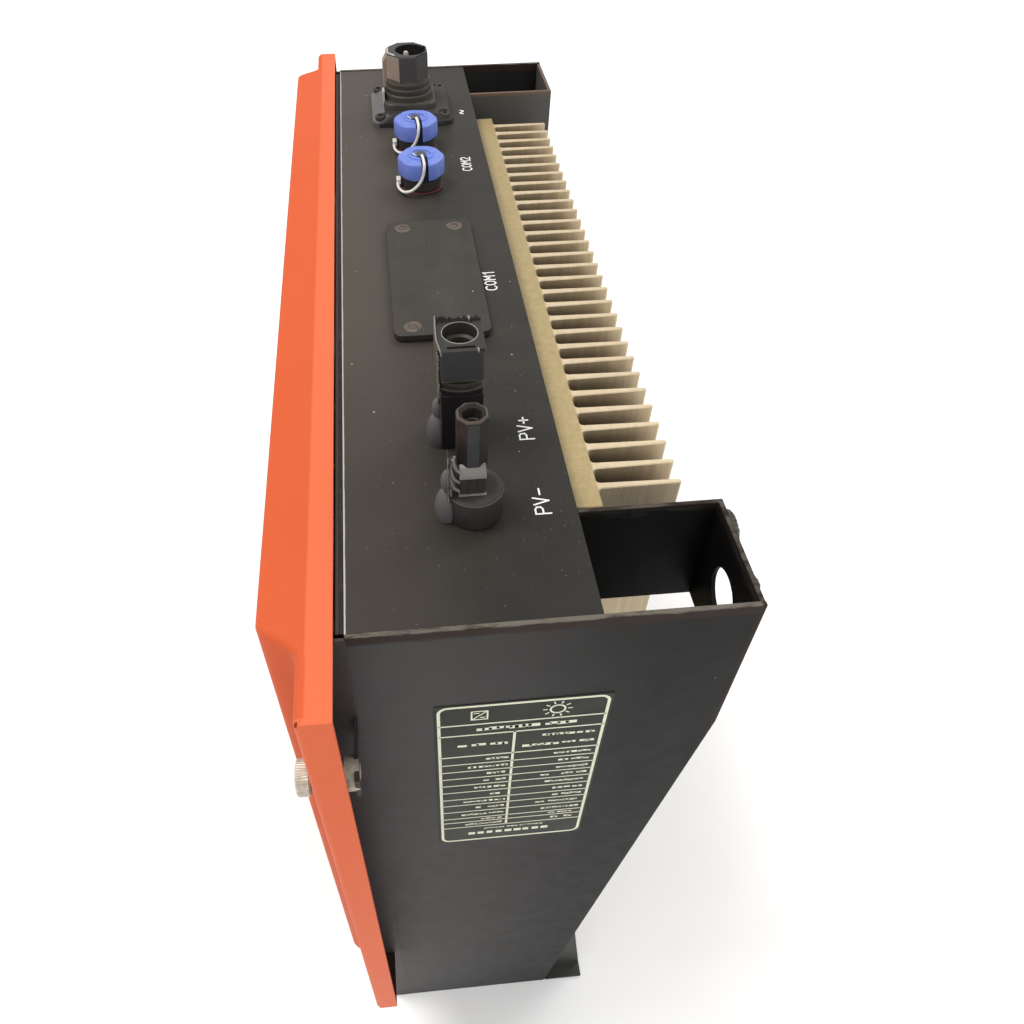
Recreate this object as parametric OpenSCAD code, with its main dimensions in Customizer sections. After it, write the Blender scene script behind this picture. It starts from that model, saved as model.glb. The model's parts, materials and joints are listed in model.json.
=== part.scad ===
// String inverter, standing on the end that is uppermost on the wall.
// Front cover towards -Y, heatsink towards +Y, connector panel on top (+Z).
// Modules work in a panel frame: y = 0 is the front edge of the case, z = 0 the panel's top face.

/* [Case] */
// Width of the case over its side plates
case_w = 445; // [430:1:460]
// Height of the case
case_h = 420; // [415:1:440]
// Depth of the sealed case, which is the depth of the connector panel
panel_d = 80; // [80:1:90]
// Depth of the side plates at the connector end
side_d = 131; // [129:1:140]
// Depth of the side plates at the lower end
side_low_d = 92; // [90:1:100]
// Length of the full-depth stretch of the side plates
side_full_h = 72; // [60:1:90]
// Thickness of the sheet steel
sheet = 2; // [1.5:0.5:2.5]
// How far the side plates stand proud of the connector panel
side_rise = 0.5; // [0.3:0.1:1]

/* [Front cover] */
// Width of the cover
cover_w = 501; // [496:1:506]
// Height of the cover
cover_h = 324.5; // [310:0.5:330]
// Rise of the cover's connector end above the panel
cover_rise = 0.9; // [0.3:0.1:1.5]
// Gap between the cover's back edge and the case
cover_gap = 3.3; // [3.2:0.1:4]
// Distance from the case to the front of the cover's rim
rim_front = 14.6; // [14.3:0.1:15.5]
// Distance from the case to the front of the raised field
cover_front = 27.2; // [27:0.1:28.5]
// Half width of the flat raised field
field_half_w = 213.7; // [208:0.1:216]
// Width of the curved shoulder between the field and the rim
shoulder_w = 13.9; // [10:0.1:16]
// Thickness of the cover sheet
cover_sheet = 1.5; // [1.2:0.1:2]
// Distance of each thumb screw from the panel
thumb_down = 53; // [45:1:60]
// Distance of each thumb screw from the middle of the case
thumb_x = 239.5; // [237:0.5:240]
// Diameter of a thumb screw's knob
thumb_dia = 12.5; // [11:0.5:14]

/* [Heatsink] */
// Number of fins
fin_count = 30; // [24:1:31]
// Distance between the outermost fins
fin_span = 311; // [300:1:314]
// Width of the heatsink base
sink_w = 332; // [330:1:336]
// Thickness of the heatsink base
sink_base = 12.7; // [10:0.1:14]
// Length of the fins
fin_len = 31.6; // [28:0.1:33]
// Thickness of a fin at its tip
fin_tip = 2.2; // [2:0.1:3]
// Drop of the heatsink below the panel
sink_drop = 11; // [8:1:20]
// Height of the heatsink
sink_h = 380; // [340:1:390]

/* [Connectors] */
// Distance of the connector row behind the front edge of the case
row_y = 42.5; // [40:0.5:46]
// Position of the negative PV socket across the panel
pv_minus_x = 171.5; // [168:0.5:176]
// Position of the positive PV socket across the panel
pv_plus_x = 132; // [128:0.5:136]
// Position of the first data socket, next to the service plate
data_1_x = -61; // [-66:1:-56]
// Position of the second data socket
data_2_x = -106; // [-108:1:-98]
// Position of the grid socket
ac_x = -157; // [-160:1:-154]
// Middle of the service plate
service_x = 29; // [24:1:32]
// Length of the service plate
service_w = 94; // [90:1:98]
// Width of the service plate
service_d = 41; // [38:1:44]
// Diameter of a data socket's cap
cap_dia = 24; // [21.5:0.5:24]

/* [Wall fixing] */
// Width of the channel at each rear corner
channel_w = 44.5; // [40:0.5:48]
// Height of the channel walls
channel_h = 51; // [50:1:60]
// Diameter of the hanging holes
hang_dia = 20; // [16:1:20]
// Diameter of the holes in the feet
foot_hole_dia = 7; // [5:1:8]

/* [Hidden] */

$fn = 48;
gap = 0.1;
eps = 1;

bolt_head_h = 6;
key_proud = 0.8;
front_reach = cover_front + key_proud;
front_y = (front_reach - side_d - bolt_head_h) / 2;

half_w = case_w / 2;
inner_w = half_w - sheet;
flange_w = 16;
flange_t = 1.5;
gasket_t = 1.5;
lid_t = 1.5;
lid_back = -gasket_t;
lid_front = lid_back - lid_t;
lid_half_w = half_w - 3;
lid_margin = 1;
lid_screw_inset = 6;
lid_screw_r = 3.2;
lid_screw_h = 2.2;

cover_bottom = cover_rise - cover_h;
cover_half_w = cover_w / 2;
cover_corner_r = 3;
shoulder_steps = 10;
corner_steps = 4;
// Depth of the cuts through the cover's front sheet
cut_depth = 3;

// The hooks: a tongue through a slot in the cover's lower wall, a rounded edge that the cover
// tilts on, and a lip inside the cover
hook_x = 150;
hook_w = 20;
hook_t = 1.5;
hook_slot = 2;
hook_front = -8;
hook_lip_h = 9;
hook_z = cover_bottom - 1;
pivot_y = -5;
pivot_z = hook_z + hook_t / 2;
pivot_r = 1.2;
slot_front = -10.5;

shank_r = 2.45;
lug_hole_r = 2.9;
thumb_hole_r = 3.5;
washer_t = 1.2;
washer_r = 5.2;
washer_front = -rim_front - gap - washer_t;
knob_back = washer_front - gap;
knob_len = 5.2;
lug_front = -5;
lug_t = 1.5;
lug_h = 11;
lug_boss_r = 5.9;
thumb_tip = 0.3;
knob_ribs = 40;
knob_groove_r = 0.32;

fin_pitch = fin_span / (fin_count - 1);
slot_root_half = 3.6;
slot_corner_r = 1.6;
slot_end_half = (fin_pitch - fin_tip) / 2;
window_half_w = 140;
window_top = -60;
window_bottom = -320;

channel_x = half_w - channel_w;
channel_mid_x = (channel_x + inner_w) / 2;
hang_down = 25;
big_bolt_x = 184.5;
big_bolt_r = 8.5;
small_bolt_x = 208;
small_bolt_r = 4.8;
bolt_flange_t = 1.6;
bolt_down = 9;

foot_d = 117;
foot_x = 190;
web_x = 212;
web_top = -300;
web_top_d = 101;
foot_hole_x = 201;
foot_hole_y = 105;
// The feet step out behind the side plates' lower edge
foot_step_y = side_low_d + 0.5;

label_y = 26;
label_d = 63;
label_top = -44;
label_h = 120;
label_t = 0.3;

// The PV and grid sockets stand a little off the row's line
pv_y = row_y + 1.3;
ac_y = row_y - 1.5;
ac_bore_y = ac_y - 1;

// Necks that pass through the panel, and the holes they pass through
pv_neck_r = 7.5;
pv_neck_len = 16;
data_neck_r = 8;
ac_neck_r = 15;
ac_neck_len = 18;
hole_play = 0.2;
port_half_w = 30;
port_half_d = 11;

nut_h = 5;
minus_foot_r = 9.3;
// The foot of the negative socket is wider towards its latch
minus_foot_shift = [1.2, 1.4];
minus_top = 42.3;
minus_tube_r = 5.1;
minus_bore_r = 2.8;
minus_block_z = [12, 22];
minus_bore_z = 16;
plus_top = 43.5;
plus_lip_top = 45.8;
plus_bore_r = 6;
plus_bore_z = 20;
plus_foot_r = 8.4;
plus_foot_h = 8;
plus_body_top = 26;
plus_ridge_top = 31;
plus_half_d = 8.2;
plus_plate_t = 1.2;
contact_top = 38;

socket_r = 9;
socket_top = 12.2;
socket_bore_r = 7;
collar_r = 10.1;
collar_top = 6.4;
seal_h = 1.2;
data_seal_r = 12;
cap_play = 0.35;
cap_r = cap_dia / 2;
cap_low = 7.2;
cap_top = 16.3;
cap_roof = 2;
cap_ridge_r = [4.9, 6.5];
cap_ridge_h = 0.5;
rivet_r = 1.2;
rivet_head_r = 3;
rivet_tail_r = 2.2;
rivet_step = 0.2;

tether_r = 0.75;
tether_sides = 8;
// Route of the tether from the rivet, over the cap and down to the socket's foot
tether_route = [
    [3.9, 0, 17.9], [5.4, 0.2, 17.9], [7.4, 0.4, 17.9], [9.8, 0.4, 17.9], [12.4, 0.3, 17.4],
    [13.8, -0.1, 15.6], [14.3, -1.2, 12.6], [14.3, -2.8, 9.4], [13.9, -4.8, 6.4], [13, -7, 4],
    [11.4, -9.6, 2.6], [9, -11.9, 2.1], [6.2, -13.3, 2.1], [3.4, -13.8, 2.6], [1, -13.1, 3.2],
    [0, -11.9, 3.4]
];

plate_z = [1, 3.5];
plate_corner_r = 4;
plate_hole_r = 2.2;
sink_r = 4.2;
screw_r = 1.95;

ac_ear_x = 19.5;
ac_ear_y = 18.7;
ac_ear_r = 5;
ac_flange_h = 6;
ac_head_z = 3.8;
ac_head_r = 3.2;
ac_head_h = 2;
ac_flange_half_w = 24.5;
ac_flange_half_d = 18;
ac_body_r = 14.6;
ac_body_top = 15;
ac_tier_r = 13.2;
ac_tier_top = 20;
ac_barrel_r = 13;
ac_barrel_top = 33.5;
ac_bore_r = 7.5;
ac_bore_z = 16;
ac_pin_top = 28;

board_t = 1.6;
board_y = 54;
control_y = 24;
board_half_w = 190;
board_z = [-395, -75];
control_half_w = 95;
control_z = [-130, -35];
winding_front = 20;
module_t = 6;
module_z = [-300, -268];
lead_turn_z = -88;

display_x = 0;
display_z = -210;
display_w = 92;
display_h = 46;
housing_front = -24.4;
housing_floor = lid_front - 6;
lens_w = 70;
lens_h = 26;
key_x = 62;
key_r = 4.2;
key_stem_r = 3.2;
key_front = -front_reach;
key_back = -24;
pipe_x = -62;
pipe_pitch = 10;
pipe_r = 1.5;

// The panel frame: front edge of the case and top face of the panel
module at_panel() {
    translate([0, front_y, case_h]) children();
}

// A block between two values on each axis
module block(x, y, z) {
    translate([x[0], y[0], z[0]]) cube([x[1] - x[0], y[1] - y[0], z[1] - z[0]]);
}

// The same shape on the right and, mirrored, on the left
module both_sides() {
    children();
    mirror([1, 0, 0]) children();
}

// A cylinder that runs along Y from y0 to y1
module rod_y(x, z, r, y0, y1) {
    translate([x, y0, z]) rotate([-90, 0, 0]) cylinder(r = r, h = y1 - y0);
}

// A cylinder that stands between two heights
module rod_z(x, y, r, z0, z1) {
    translate([x, y, z0]) cylinder(r = r, h = z1 - z0);
}

// The opening under the service plate, between two heights
module service_opening(z0, z1) {
    block([service_x - port_half_w, service_x + port_half_w],
        [row_y - port_half_d, row_y + port_half_d], [z0, z1]);
}

// ---- Case ----

module connector_panel() {
    color("#2b2825") at_panel() difference() {
        block([-inner_w, inner_w], [0, panel_d], [-sheet, 0]);
        for (x = [pv_minus_x, pv_plus_x]) rod_z(x, pv_y, pv_neck_r + hole_play, -sheet - eps, eps);
        for (x = [data_1_x, data_2_x]) rod_z(x, row_y, data_neck_r + hole_play, -sheet - eps, eps);
        rod_z(ac_x, row_y, ac_neck_r + hole_play, -sheet - eps, eps);
        service_opening(-sheet - eps, eps);
    }
}

module back_plate() {
    color("#2b2825") at_panel() difference() {
        block([-inner_w, inner_w], [panel_d - sheet, panel_d], [-case_h + sheet, -sheet]);
        block([-window_half_w, window_half_w], [panel_d - sheet - eps, panel_d + eps],
            [window_bottom, window_top]);
    }
}

module lower_end_plate() {
    color("#2b2825") at_panel()
        block([-inner_w, inner_w], [0, panel_d], [-case_h, -case_h + sheet]);
}

module side_plate() {
    color("#2f2d2b") at_panel() translate([inner_w, 0, 0]) rotate([90, 0, 90])
        linear_extrude(sheet) polygon([
            [0, side_rise], [side_d, side_rise], [side_d, -side_full_h],
            [side_low_d, -case_h], [0, -case_h]
        ]);
}

module side_plate_right() {
    side_plate();
}

module side_plate_left() {
    mirror([1, 0, 0]) side_plate();
}

module front_flanges() {
    color("#262422") at_panel() {
        block([-inner_w, inner_w], [0, flange_t], [-sheet - flange_w, -sheet]);
        block([-inner_w, inner_w], [0, flange_t], [-case_h + sheet, -case_h + sheet + flange_w]);
        both_sides() block([inner_w - flange_w, inner_w], [0, flange_t],
            [-case_h + sheet + flange_w, -sheet - flange_w]);
    }
}

module lid_gasket() {
    seal_w = 9;
    color("#151515") at_panel() {
        block([-lid_half_w, lid_half_w], [lid_back, 0], [-lid_margin - seal_w, -lid_margin]);
        block([-lid_half_w, lid_half_w], [lid_back, 0],
            [-case_h + lid_margin, -case_h + lid_margin + seal_w]);
        both_sides() block([lid_half_w - seal_w, lid_half_w], [lid_back, 0],
            [-case_h + lid_margin + seal_w, -lid_margin - seal_w]);
    }
}

module front_lid() {
    color("#242220") at_panel() block([-lid_half_w, lid_half_w], [lid_front, lid_back],
        [-case_h + lid_margin, -lid_margin]);
}

module lid_screws() {
    x_step = (lid_half_w - lid_screw_inset) / 2;
    z_step = (case_h - 2 * (lid_margin + lid_screw_inset)) / 3;
    z_first = -lid_margin - lid_screw_inset;
    color("#8c8a86") at_panel() {
        for (i = [-2:2], end = [0, 3])
            rod_y(i * x_step, z_first - end * z_step, lid_screw_r, lid_front - lid_screw_h, lid_front);
        for (side = [-1, 1], i = [1:2]) rod_y(side * 2 * x_step, z_first - i * z_step, lid_screw_r,
            lid_front - lid_screw_h, lid_front);
    }
}

// ---- Front cover ----

function shoulder(t) = (1 - cos(180 * t)) / 2;

// Right half of the cover's section, pulled in by inset, from the middle to the back edge
function cover_half(inset, back) = concat(
    [[0, -cover_front + inset]],
    [for (i = [0:shoulder_steps])
        [field_half_w + shoulder_w * i / shoulder_steps - inset * 0.5,
         -cover_front + inset + (cover_front - rim_front) * shoulder(i / shoulder_steps)]],
    [for (i = [0:corner_steps])
        [cover_half_w - cover_corner_r + (cover_corner_r - inset) * sin(90 * i / corner_steps),
         -rim_front + cover_corner_r - (cover_corner_r - inset) * cos(90 * i / corner_steps)]],
    [[cover_half_w - inset, back]]
);

// Whole section of the cover, right half then left half
function cover_section(inset, back) = let (half = cover_half(inset, back), n = len(half)) concat(
    half,
    [for (i = [1:n - 1]) [-half[n - i][0], half[n - i][1]]]
);

module front_cover() {
    color("#ee6440") at_panel() difference() {
        translate([0, 0, cover_bottom]) linear_extrude(cover_h)
            polygon(cover_section(0, -cover_gap));
        translate([0, 0, cover_bottom + cover_sheet]) linear_extrude(cover_h - 2 * cover_sheet)
            polygon(cover_section(cover_sheet, -cover_gap + eps));
        block([display_x - lens_w / 2, display_x + lens_w / 2],
            [-cover_front - eps, -cover_front + cut_depth],
            [display_z - lens_h / 2, display_z + lens_h / 2]);
        rod_y(key_x, display_z, key_r + 1, -cover_front - eps, -cover_front + cut_depth);
        for (i = [-1:1]) rod_y(pipe_x, display_z + i * pipe_pitch, pipe_r + 1,
            -cover_front - eps, -cover_front + cut_depth);
        both_sides() {
            rod_y(thumb_x, -thumb_down, thumb_hole_r, -rim_front - eps, -rim_front + cut_depth);
            block([hook_x - hook_w / 2 - hook_slot, hook_x + hook_w / 2 + hook_slot],
                [slot_front, -cover_gap + eps], [cover_bottom - eps, cover_bottom + cover_sheet + eps]);
        }
    }
}

module cover_hooks() {
    width = [hook_x - hook_w / 2, hook_x + hook_w / 2];
    color("#3a3836") at_panel() both_sides() {
        block(width, [hook_front, lid_front], [hook_z, hook_z + hook_t]);
        block(width, [hook_front, hook_front + hook_t], [hook_z + hook_t, hook_z + hook_lip_h]);
        translate([hook_x - hook_w / 2, pivot_y, pivot_z]) rotate([0, 90, 0])
            cylinder(r = pivot_r, h = hook_w);
    }
}

module screw_lugs() {
    color("#7a6248") at_panel() both_sides() difference() {
        union() {
            block([inner_w, thumb_x + lug_boss_r - gap], [-lug_t, 0],
                [-thumb_down - lug_h / 2, -thumb_down + lug_h / 2]);
            rod_y(thumb_x, -thumb_down, lug_boss_r, lug_front, 0);
        }
        rod_y(thumb_x, -thumb_down, lug_hole_r, lug_front - eps, eps);
    }
}

module thumb_screw() {
    r = thumb_dia / 2;
    color("#d9d6cc") at_panel() {
        difference() {
            rod_y(thumb_x, -thumb_down, r, knob_back - knob_len, knob_back);
            for (i = [0:knob_ribs - 1])
                translate([thumb_x, 0, -thumb_down]) rotate([0, i * 360 / knob_ribs, 0])
                    rod_y(r + 0.2, 0, knob_groove_r, knob_back - knob_len - eps, knob_back - 1.5);
        }
        rod_y(thumb_x, -thumb_down, shank_r, knob_back, thumb_tip);
    }
}

module thumb_screw_right() {
    thumb_screw();
}

module thumb_screw_left() {
    mirror([1, 0, 0]) thumb_screw();
}

module captive_washer() {
    color("#e8e6df") at_panel() difference() {
        rod_y(thumb_x, -thumb_down, washer_r, washer_front, washer_front + washer_t);
        rod_y(thumb_x, -thumb_down, shank_r + gap, washer_front - eps, washer_front + washer_t + eps);
    }
}

module captive_washer_right() {
    captive_washer();
}

module captive_washer_left() {
    mirror([1, 0, 0]) captive_washer();
}

// ---- Wall fixing ----

module corner_channel() {
    color("#262422") at_panel() difference() {
        union() {
            block([channel_x - sheet, channel_x], [panel_d, side_d], [-channel_h, 0]);
            block([channel_x, inner_w], [side_d - sheet, side_d], [-channel_h, 0]);
        }
        rod_y(channel_mid_x, -hang_down, hang_dia / 2, side_d - sheet - eps, side_d + eps);
    }
}

module corner_channel_right() {
    corner_channel();
}

module corner_channel_left() {
    mirror([1, 0, 0]) corner_channel();
}

module foot_bracket() {
    color("#262422") at_panel() difference() {
        union() {
            block([foot_x, inner_w], [panel_d, foot_step_y], [-case_h, -case_h + sheet]);
            block([foot_x, half_w], [foot_step_y, foot_d], [-case_h, -case_h + sheet]);
            translate([web_x, 0, 0]) rotate([90, 0, 90]) linear_extrude(sheet) polygon([
                [panel_d, web_top], [web_top_d, web_top], [foot_d, -case_h + sheet],
                [panel_d, -case_h + sheet]
            ]);
        }
        rod_z(foot_hole_x, foot_hole_y, foot_hole_dia / 2, -case_h - eps, -case_h + sheet + eps);
    }
}

module foot_bracket_right() {
    foot_bracket();
}

module foot_bracket_left() {
    mirror([1, 0, 0]) foot_bracket();
}

// A flange bolt whose head stands out of the back wall of a channel
module flange_bolt(x, flange_r) {
    rod_y(x, -bolt_down, flange_r, side_d, side_d + bolt_flange_t);
    translate([x, side_d + bolt_flange_t, -bolt_down]) rotate([-90, 0, 0])
        cylinder(r = flange_r * 0.72, h = bolt_head_h - bolt_flange_t, $fn = 6);
}

// Only the right-hand channel carries bolts
module bracket_bolts() {
    color("#5b564e") at_panel() {
        flange_bolt(big_bolt_x, big_bolt_r);
        flange_bolt(small_bolt_x, small_bolt_r);
    }
}

// ---- Heatsink ----

module heatsink() {
    first_fin = -fin_span / 2;
    root_y = panel_d + sink_base;
    root_flat_half = slot_root_half - slot_corner_r;
    shelf = (sink_w - fin_span - fin_tip) / 2;
    color("#c3b187") at_panel() translate([0, 0, -sink_drop - sink_h]) linear_extrude(sink_h)
        difference() {
            translate([-sink_w / 2, panel_d]) square([sink_w, sink_base + fin_len]);
            for (i = [0:fin_count - 2]) translate([first_fin + (i + 0.5) * fin_pitch, root_y]) {
                for (side = [-1, 1]) translate([side * root_flat_half, slot_corner_r])
                    circle(r = slot_corner_r);
                polygon([[-root_flat_half, 0], [-slot_root_half, slot_corner_r],
                    [-slot_end_half, fin_len + eps], [slot_end_half, fin_len + eps],
                    [slot_root_half, slot_corner_r], [root_flat_half, 0]]);
            }
            for (side = [0, 1]) mirror([side, 0])
                translate([sink_w / 2 - shelf, root_y]) square([shelf + eps, fin_len + eps]);
        }
}

module heatsink_seal() {
    seal_w = 6;
    seal_t = 1;
    outer_x = window_half_w - 1;
    y = [panel_d - sheet - seal_t, panel_d - sheet];
    color("#1c1c1c") at_panel() {
        block([-outer_x - seal_w, outer_x + seal_w], y, [window_top + 1, window_top + 1 + seal_w]);
        block([-outer_x - seal_w, outer_x + seal_w], y, [window_bottom - 1 - seal_w, window_bottom - 1]);
        both_sides() block([outer_x + 2, outer_x + 2 + seal_w], y, [window_bottom - 1, window_top + 1]);
    }
}

module rating_label() {
    color("#34342c") at_panel() block([half_w, half_w + label_t], [label_y, label_y + label_d],
        [label_top - label_h, label_top]);
}

// ---- PV sockets ----

// Rounded release lobes at the front of a socket's foot
module release_lobes(x) {
    intersection() {
        union() {
            translate([x, pv_y - 6.8, 4]) sphere(r = 6);
            translate([x, pv_y - 5.4, 11.5]) sphere(r = 4.4);
        }
        block([x - 8, x + 8], [pv_y - 20, pv_y - 2], [0, 20]);
    }
}

// The neck that passes through the panel
module socket_neck(x) {
    rod_z(x, pv_y, pv_neck_r, -pv_neck_len, 0);
}

module pv_minus_socket() {
    x = pv_minus_x;
    color("#22201f") at_panel() difference() {
        union() {
            rod_z(x + minus_foot_shift[0], pv_y + minus_foot_shift[1], minus_foot_r, 0, minus_block_z[0]);
            block([x - 5.5, x + 5.5], [pv_y - 5.5, pv_y + 5.5], minus_block_z);
            rod_z(x, pv_y, minus_tube_r, minus_block_z[1], minus_top);
            release_lobes(x);
            socket_neck(x);
        }
        rod_z(x, pv_y, minus_bore_r, minus_bore_z, minus_top + eps);
    }
}

module pv_plus_socket() {
    x = pv_plus_x;
    front = pv_y - plus_half_d;
    depth = [front, pv_y + plus_half_d];
    color("#22201f") at_panel() difference() {
        union() {
            rod_z(x, pv_y, plus_foot_r, 0, plus_foot_h);
            block([x - 7, x + 7], [front, pv_y + 7.5], [0, plus_body_top]);
            block([x - 7.8, x + 7.8], depth, [plus_body_top, plus_ridge_top]);
            block([x - 7.8, x + 10.5], depth, [plus_ridge_top, plus_top]);
            block([x - 7.8, x - 6.4], depth, [plus_top, plus_lip_top]);
            block([x - 7, x + 9], [front - plus_plate_t, front], [0, plus_top]);
            release_lobes(x);
            socket_neck(x);
        }
        rod_z(x, pv_y, plus_bore_r, plus_bore_z, plus_lip_top + eps);
        block([x + 7.2, x + 8.2], [pv_y - 4.5, pv_y + 4.5], [36, plus_top + eps]);
    }
}

module pv_contacts() {
    color("#b8b4a8") at_panel() {
        difference() {
            rod_z(pv_minus_x, pv_y, minus_bore_r - 0.2, minus_bore_z, contact_top);
            rod_z(pv_minus_x, pv_y, 2, minus_bore_z + 2, contact_top + eps);
        }
        rod_z(pv_plus_x, pv_y, 1.9, plus_bore_z, contact_top);
    }
}

module pv_lock_nuts() {
    color("#1d1d1d") at_panel() for (x = [pv_minus_x, pv_plus_x])
        translate([x, pv_y, -sheet - nut_h]) difference() {
            cylinder(r = 12, h = nut_h, $fn = 6);
            translate([0, 0, -eps]) cylinder(r = pv_neck_r + gap, h = nut_h + 2 * eps);
        }
}

// ---- Data sockets and caps ----

module data_socket(x) {
    color("#1f1d1d") at_panel() difference() {
        union() {
            rod_z(x, row_y, collar_r, seal_h, collar_top);
            rod_z(x, row_y, socket_r, collar_top, socket_top);
            rod_z(x, row_y, data_neck_r, -12, seal_h);
            // Clip for the tether's lower end
            block([x - 2, x + 2], [row_y - 12.6, row_y - 9], [1.8, 4.8]);
        }
        rod_z(x, row_y, socket_bore_r, 6, socket_top + eps);
    }
}

module data_socket_1() {
    data_socket(data_1_x);
}

module data_socket_2() {
    data_socket(data_2_x);
}

module data_seals() {
    color("#6a1f20") at_panel() for (x = [data_1_x, data_2_x]) difference() {
        rod_z(x, row_y, data_seal_r, 0, seal_h);
        rod_z(x, row_y, data_neck_r + gap, -eps, seal_h + eps);
    }
}

module data_cap(x) {
    color("#6f86dc") at_panel() difference() {
        union() {
            rod_z(x, row_y, cap_r, cap_low, cap_top);
            // Ridge round the rivet, open towards the tether
            difference() {
                rod_z(x, row_y, cap_ridge_r[1], cap_low, cap_top + cap_ridge_h);
                rod_z(x, row_y, cap_ridge_r[0], cap_top, cap_top + 2 * cap_ridge_h);
                block([x, x + cap_r], [row_y - 2, row_y + 2], [cap_top, cap_top + 2 * cap_ridge_h]);
            }
        }
        rod_z(x, row_y, socket_r + cap_play, cap_low - eps, cap_top - cap_roof);
        rod_z(x, row_y, rivet_r + gap, cap_low, cap_top + eps);
    }
}

module data_cap_1() {
    data_cap(data_1_x);
}

module data_cap_2() {
    data_cap(data_2_x);
}

module cap_rivet(x) {
    tail = cap_top - cap_roof - rivet_step;
    color("#5870c8") at_panel() {
        rod_z(x, row_y, rivet_r, tail - 1, cap_top + rivet_step);
        rod_z(x, row_y, rivet_head_r, cap_top + rivet_step, cap_top + 1.4);
        rod_z(x, row_y, rivet_tail_r, tail - 1, tail);
    }
}

module cap_rivet_1() {
    cap_rivet(data_1_x);
}

module cap_rivet_2() {
    cap_rivet(data_2_x);
}

function unit(v) = v / norm(v);
function route_dir(p, i) = unit(p[min(i + 1, len(p) - 1)] - p[max(i - 1, 0)]);
function side_dir(d) = unit(cross(d, abs(d[2]) > 0.9 ? [1, 0, 0] : [0, 0, 1]));
function ring(p, i, r, n) = let (d = route_dir(p, i), a = side_dir(d), b = cross(a, d))
    [for (k = [0:n - 1]) p[i] + r * (cos(360 * k / n) * a + sin(360 * k / n) * b)];

// A round tube swept along the points p
module swept_tube(p, r, n) {
    m = len(p);
    points = [for (i = [0:m - 1]) each ring(p, i, r, n)];
    walls = [for (i = [0:m - 2], k = [0:n - 1])
        [i * n + k, i * n + (k + 1) % n, (i + 1) * n + (k + 1) % n, (i + 1) * n + k]];
    first = [[for (k = [0:n - 1]) n - 1 - k]];
    last = [[for (k = [0:n - 1]) (m - 1) * n + k]];
    polyhedron(points, concat(walls, first, last));
}

module cap_tether(x) {
    color("#e9e7e2") at_panel() translate([x, row_y, 0])
        swept_tube(tether_route, tether_r, tether_sides);
}

module cap_tether_1() {
    cap_tether(data_1_x);
}

module cap_tether_2() {
    cap_tether(data_2_x);
}

// ---- Service plate ----

// A plate with rounded corners, centred on the service opening
module rounded_plate(w, d, r, z0, z1) {
    translate([service_x, row_y, z0]) linear_extrude(z1 - z0) {
        square([w - 2 * r, d], center = true);
        square([w, d - 2 * r], center = true);
        for (i = [-1, 1], j = [-1, 1]) translate([i * (w / 2 - r), j * (d / 2 - r)]) circle(r = r);
    }
}

// Repeats a shape at the service plate's four screws
module at_service_screws() {
    for (i = [-1, 1], j = [-1, 1])
        translate([service_x + i * (service_w / 2 - 6.5), row_y + j * (service_d / 2 - 8), 0]) children();
}

module service_plate() {
    color("#2d2a28") at_panel() difference() {
        rounded_plate(service_w, service_d, plate_corner_r, plate_z[0], plate_z[1]);
        at_service_screws() cylinder(r = plate_hole_r, h = plate_z[1] + eps);
        at_service_screws() translate([0, 0, plate_z[1] - 2])
            cylinder(r1 = plate_hole_r, r2 = sink_r, h = 2.01);
    }
}

module service_seal() {
    color("#141414") at_panel() difference() {
        rounded_plate(service_w - 1, service_d - 1, plate_corner_r - 0.5, 0, plate_z[0]);
        at_service_screws() translate([0, 0, -eps]) cylinder(r = plate_hole_r, h = 3);
        service_opening(-eps, plate_z[0] + eps);
    }
}

module service_screws() {
    head_z = 1.6;
    color("#6b5d50") at_panel() at_service_screws() {
        cylinder(r = screw_r, h = head_z);
        difference() {
            translate([0, 0, head_z]) cylinder(r1 = screw_r + 0.05, r2 = 2 * screw_r + 0.05, h = 1.8);
            translate([0, 0, head_z + 0.6]) cylinder(r = 1.5, h = 3, $fn = 6);
        }
    }
}

module serial_socket() {
    color("#9a9a98") at_panel() {
        block([service_x - 15.5, service_x + 15.5], [row_y - 6, row_y + 6], [-12, -3]);
        block([service_x - 8.5, service_x + 8.5], [row_y - 4, row_y + 4], [-3, 0.5]);
    }
}

// ---- Grid socket ----

// Repeats a shape at the four ears of the grid socket's flange
module at_ac_ears() {
    for (i = [-1, 1], j = [-1, 1]) translate([ac_x + i * ac_ear_x, row_y + j * ac_ear_y, 0]) children();
}

module ac_socket() {
    color("#252322") at_panel() difference() {
        union() {
            block([ac_x - ac_flange_half_w, ac_x + ac_flange_half_w],
                [row_y - ac_flange_half_d, row_y + ac_flange_half_d], [0, ac_flange_h]);
            at_ac_ears() cylinder(r = ac_ear_r, h = ac_flange_h);
            rod_z(ac_x, ac_y, ac_body_r, ac_flange_h, ac_body_top);
            rod_z(ac_x, ac_y, ac_tier_r, ac_body_top, ac_tier_top);
            translate([ac_x, ac_y, ac_tier_top]) rotate(22.5)
                cylinder(r = ac_barrel_r, h = ac_barrel_top - ac_tier_top, $fn = 8);
            rod_z(ac_x, row_y, ac_neck_r, -ac_neck_len, 0);
        }
        rod_z(ac_x, ac_bore_y, ac_bore_r, ac_bore_z, ac_barrel_top + eps);
        at_ac_ears() rod_z(0, 0, 2, -eps, ac_flange_h + eps);
        at_ac_ears() rod_z(0, 0, ac_head_r + hole_play, ac_head_z, ac_flange_h + eps);
    }
}

module ac_contacts() {
    color("#c8a860") at_panel() for (a = [90, 210, 330])
        rod_z(ac_x + 4.4 * cos(a), ac_bore_y + 4.4 * sin(a), 1.4, ac_bore_z, ac_pin_top);
}

module ac_screws() {
    color("#6f6a62") at_panel() at_ac_ears() {
        cylinder(r = 1.8, h = ac_head_z);
        rod_z(0, 0, ac_head_r, ac_head_z, ac_head_z + ac_head_h);
    }
}

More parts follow.
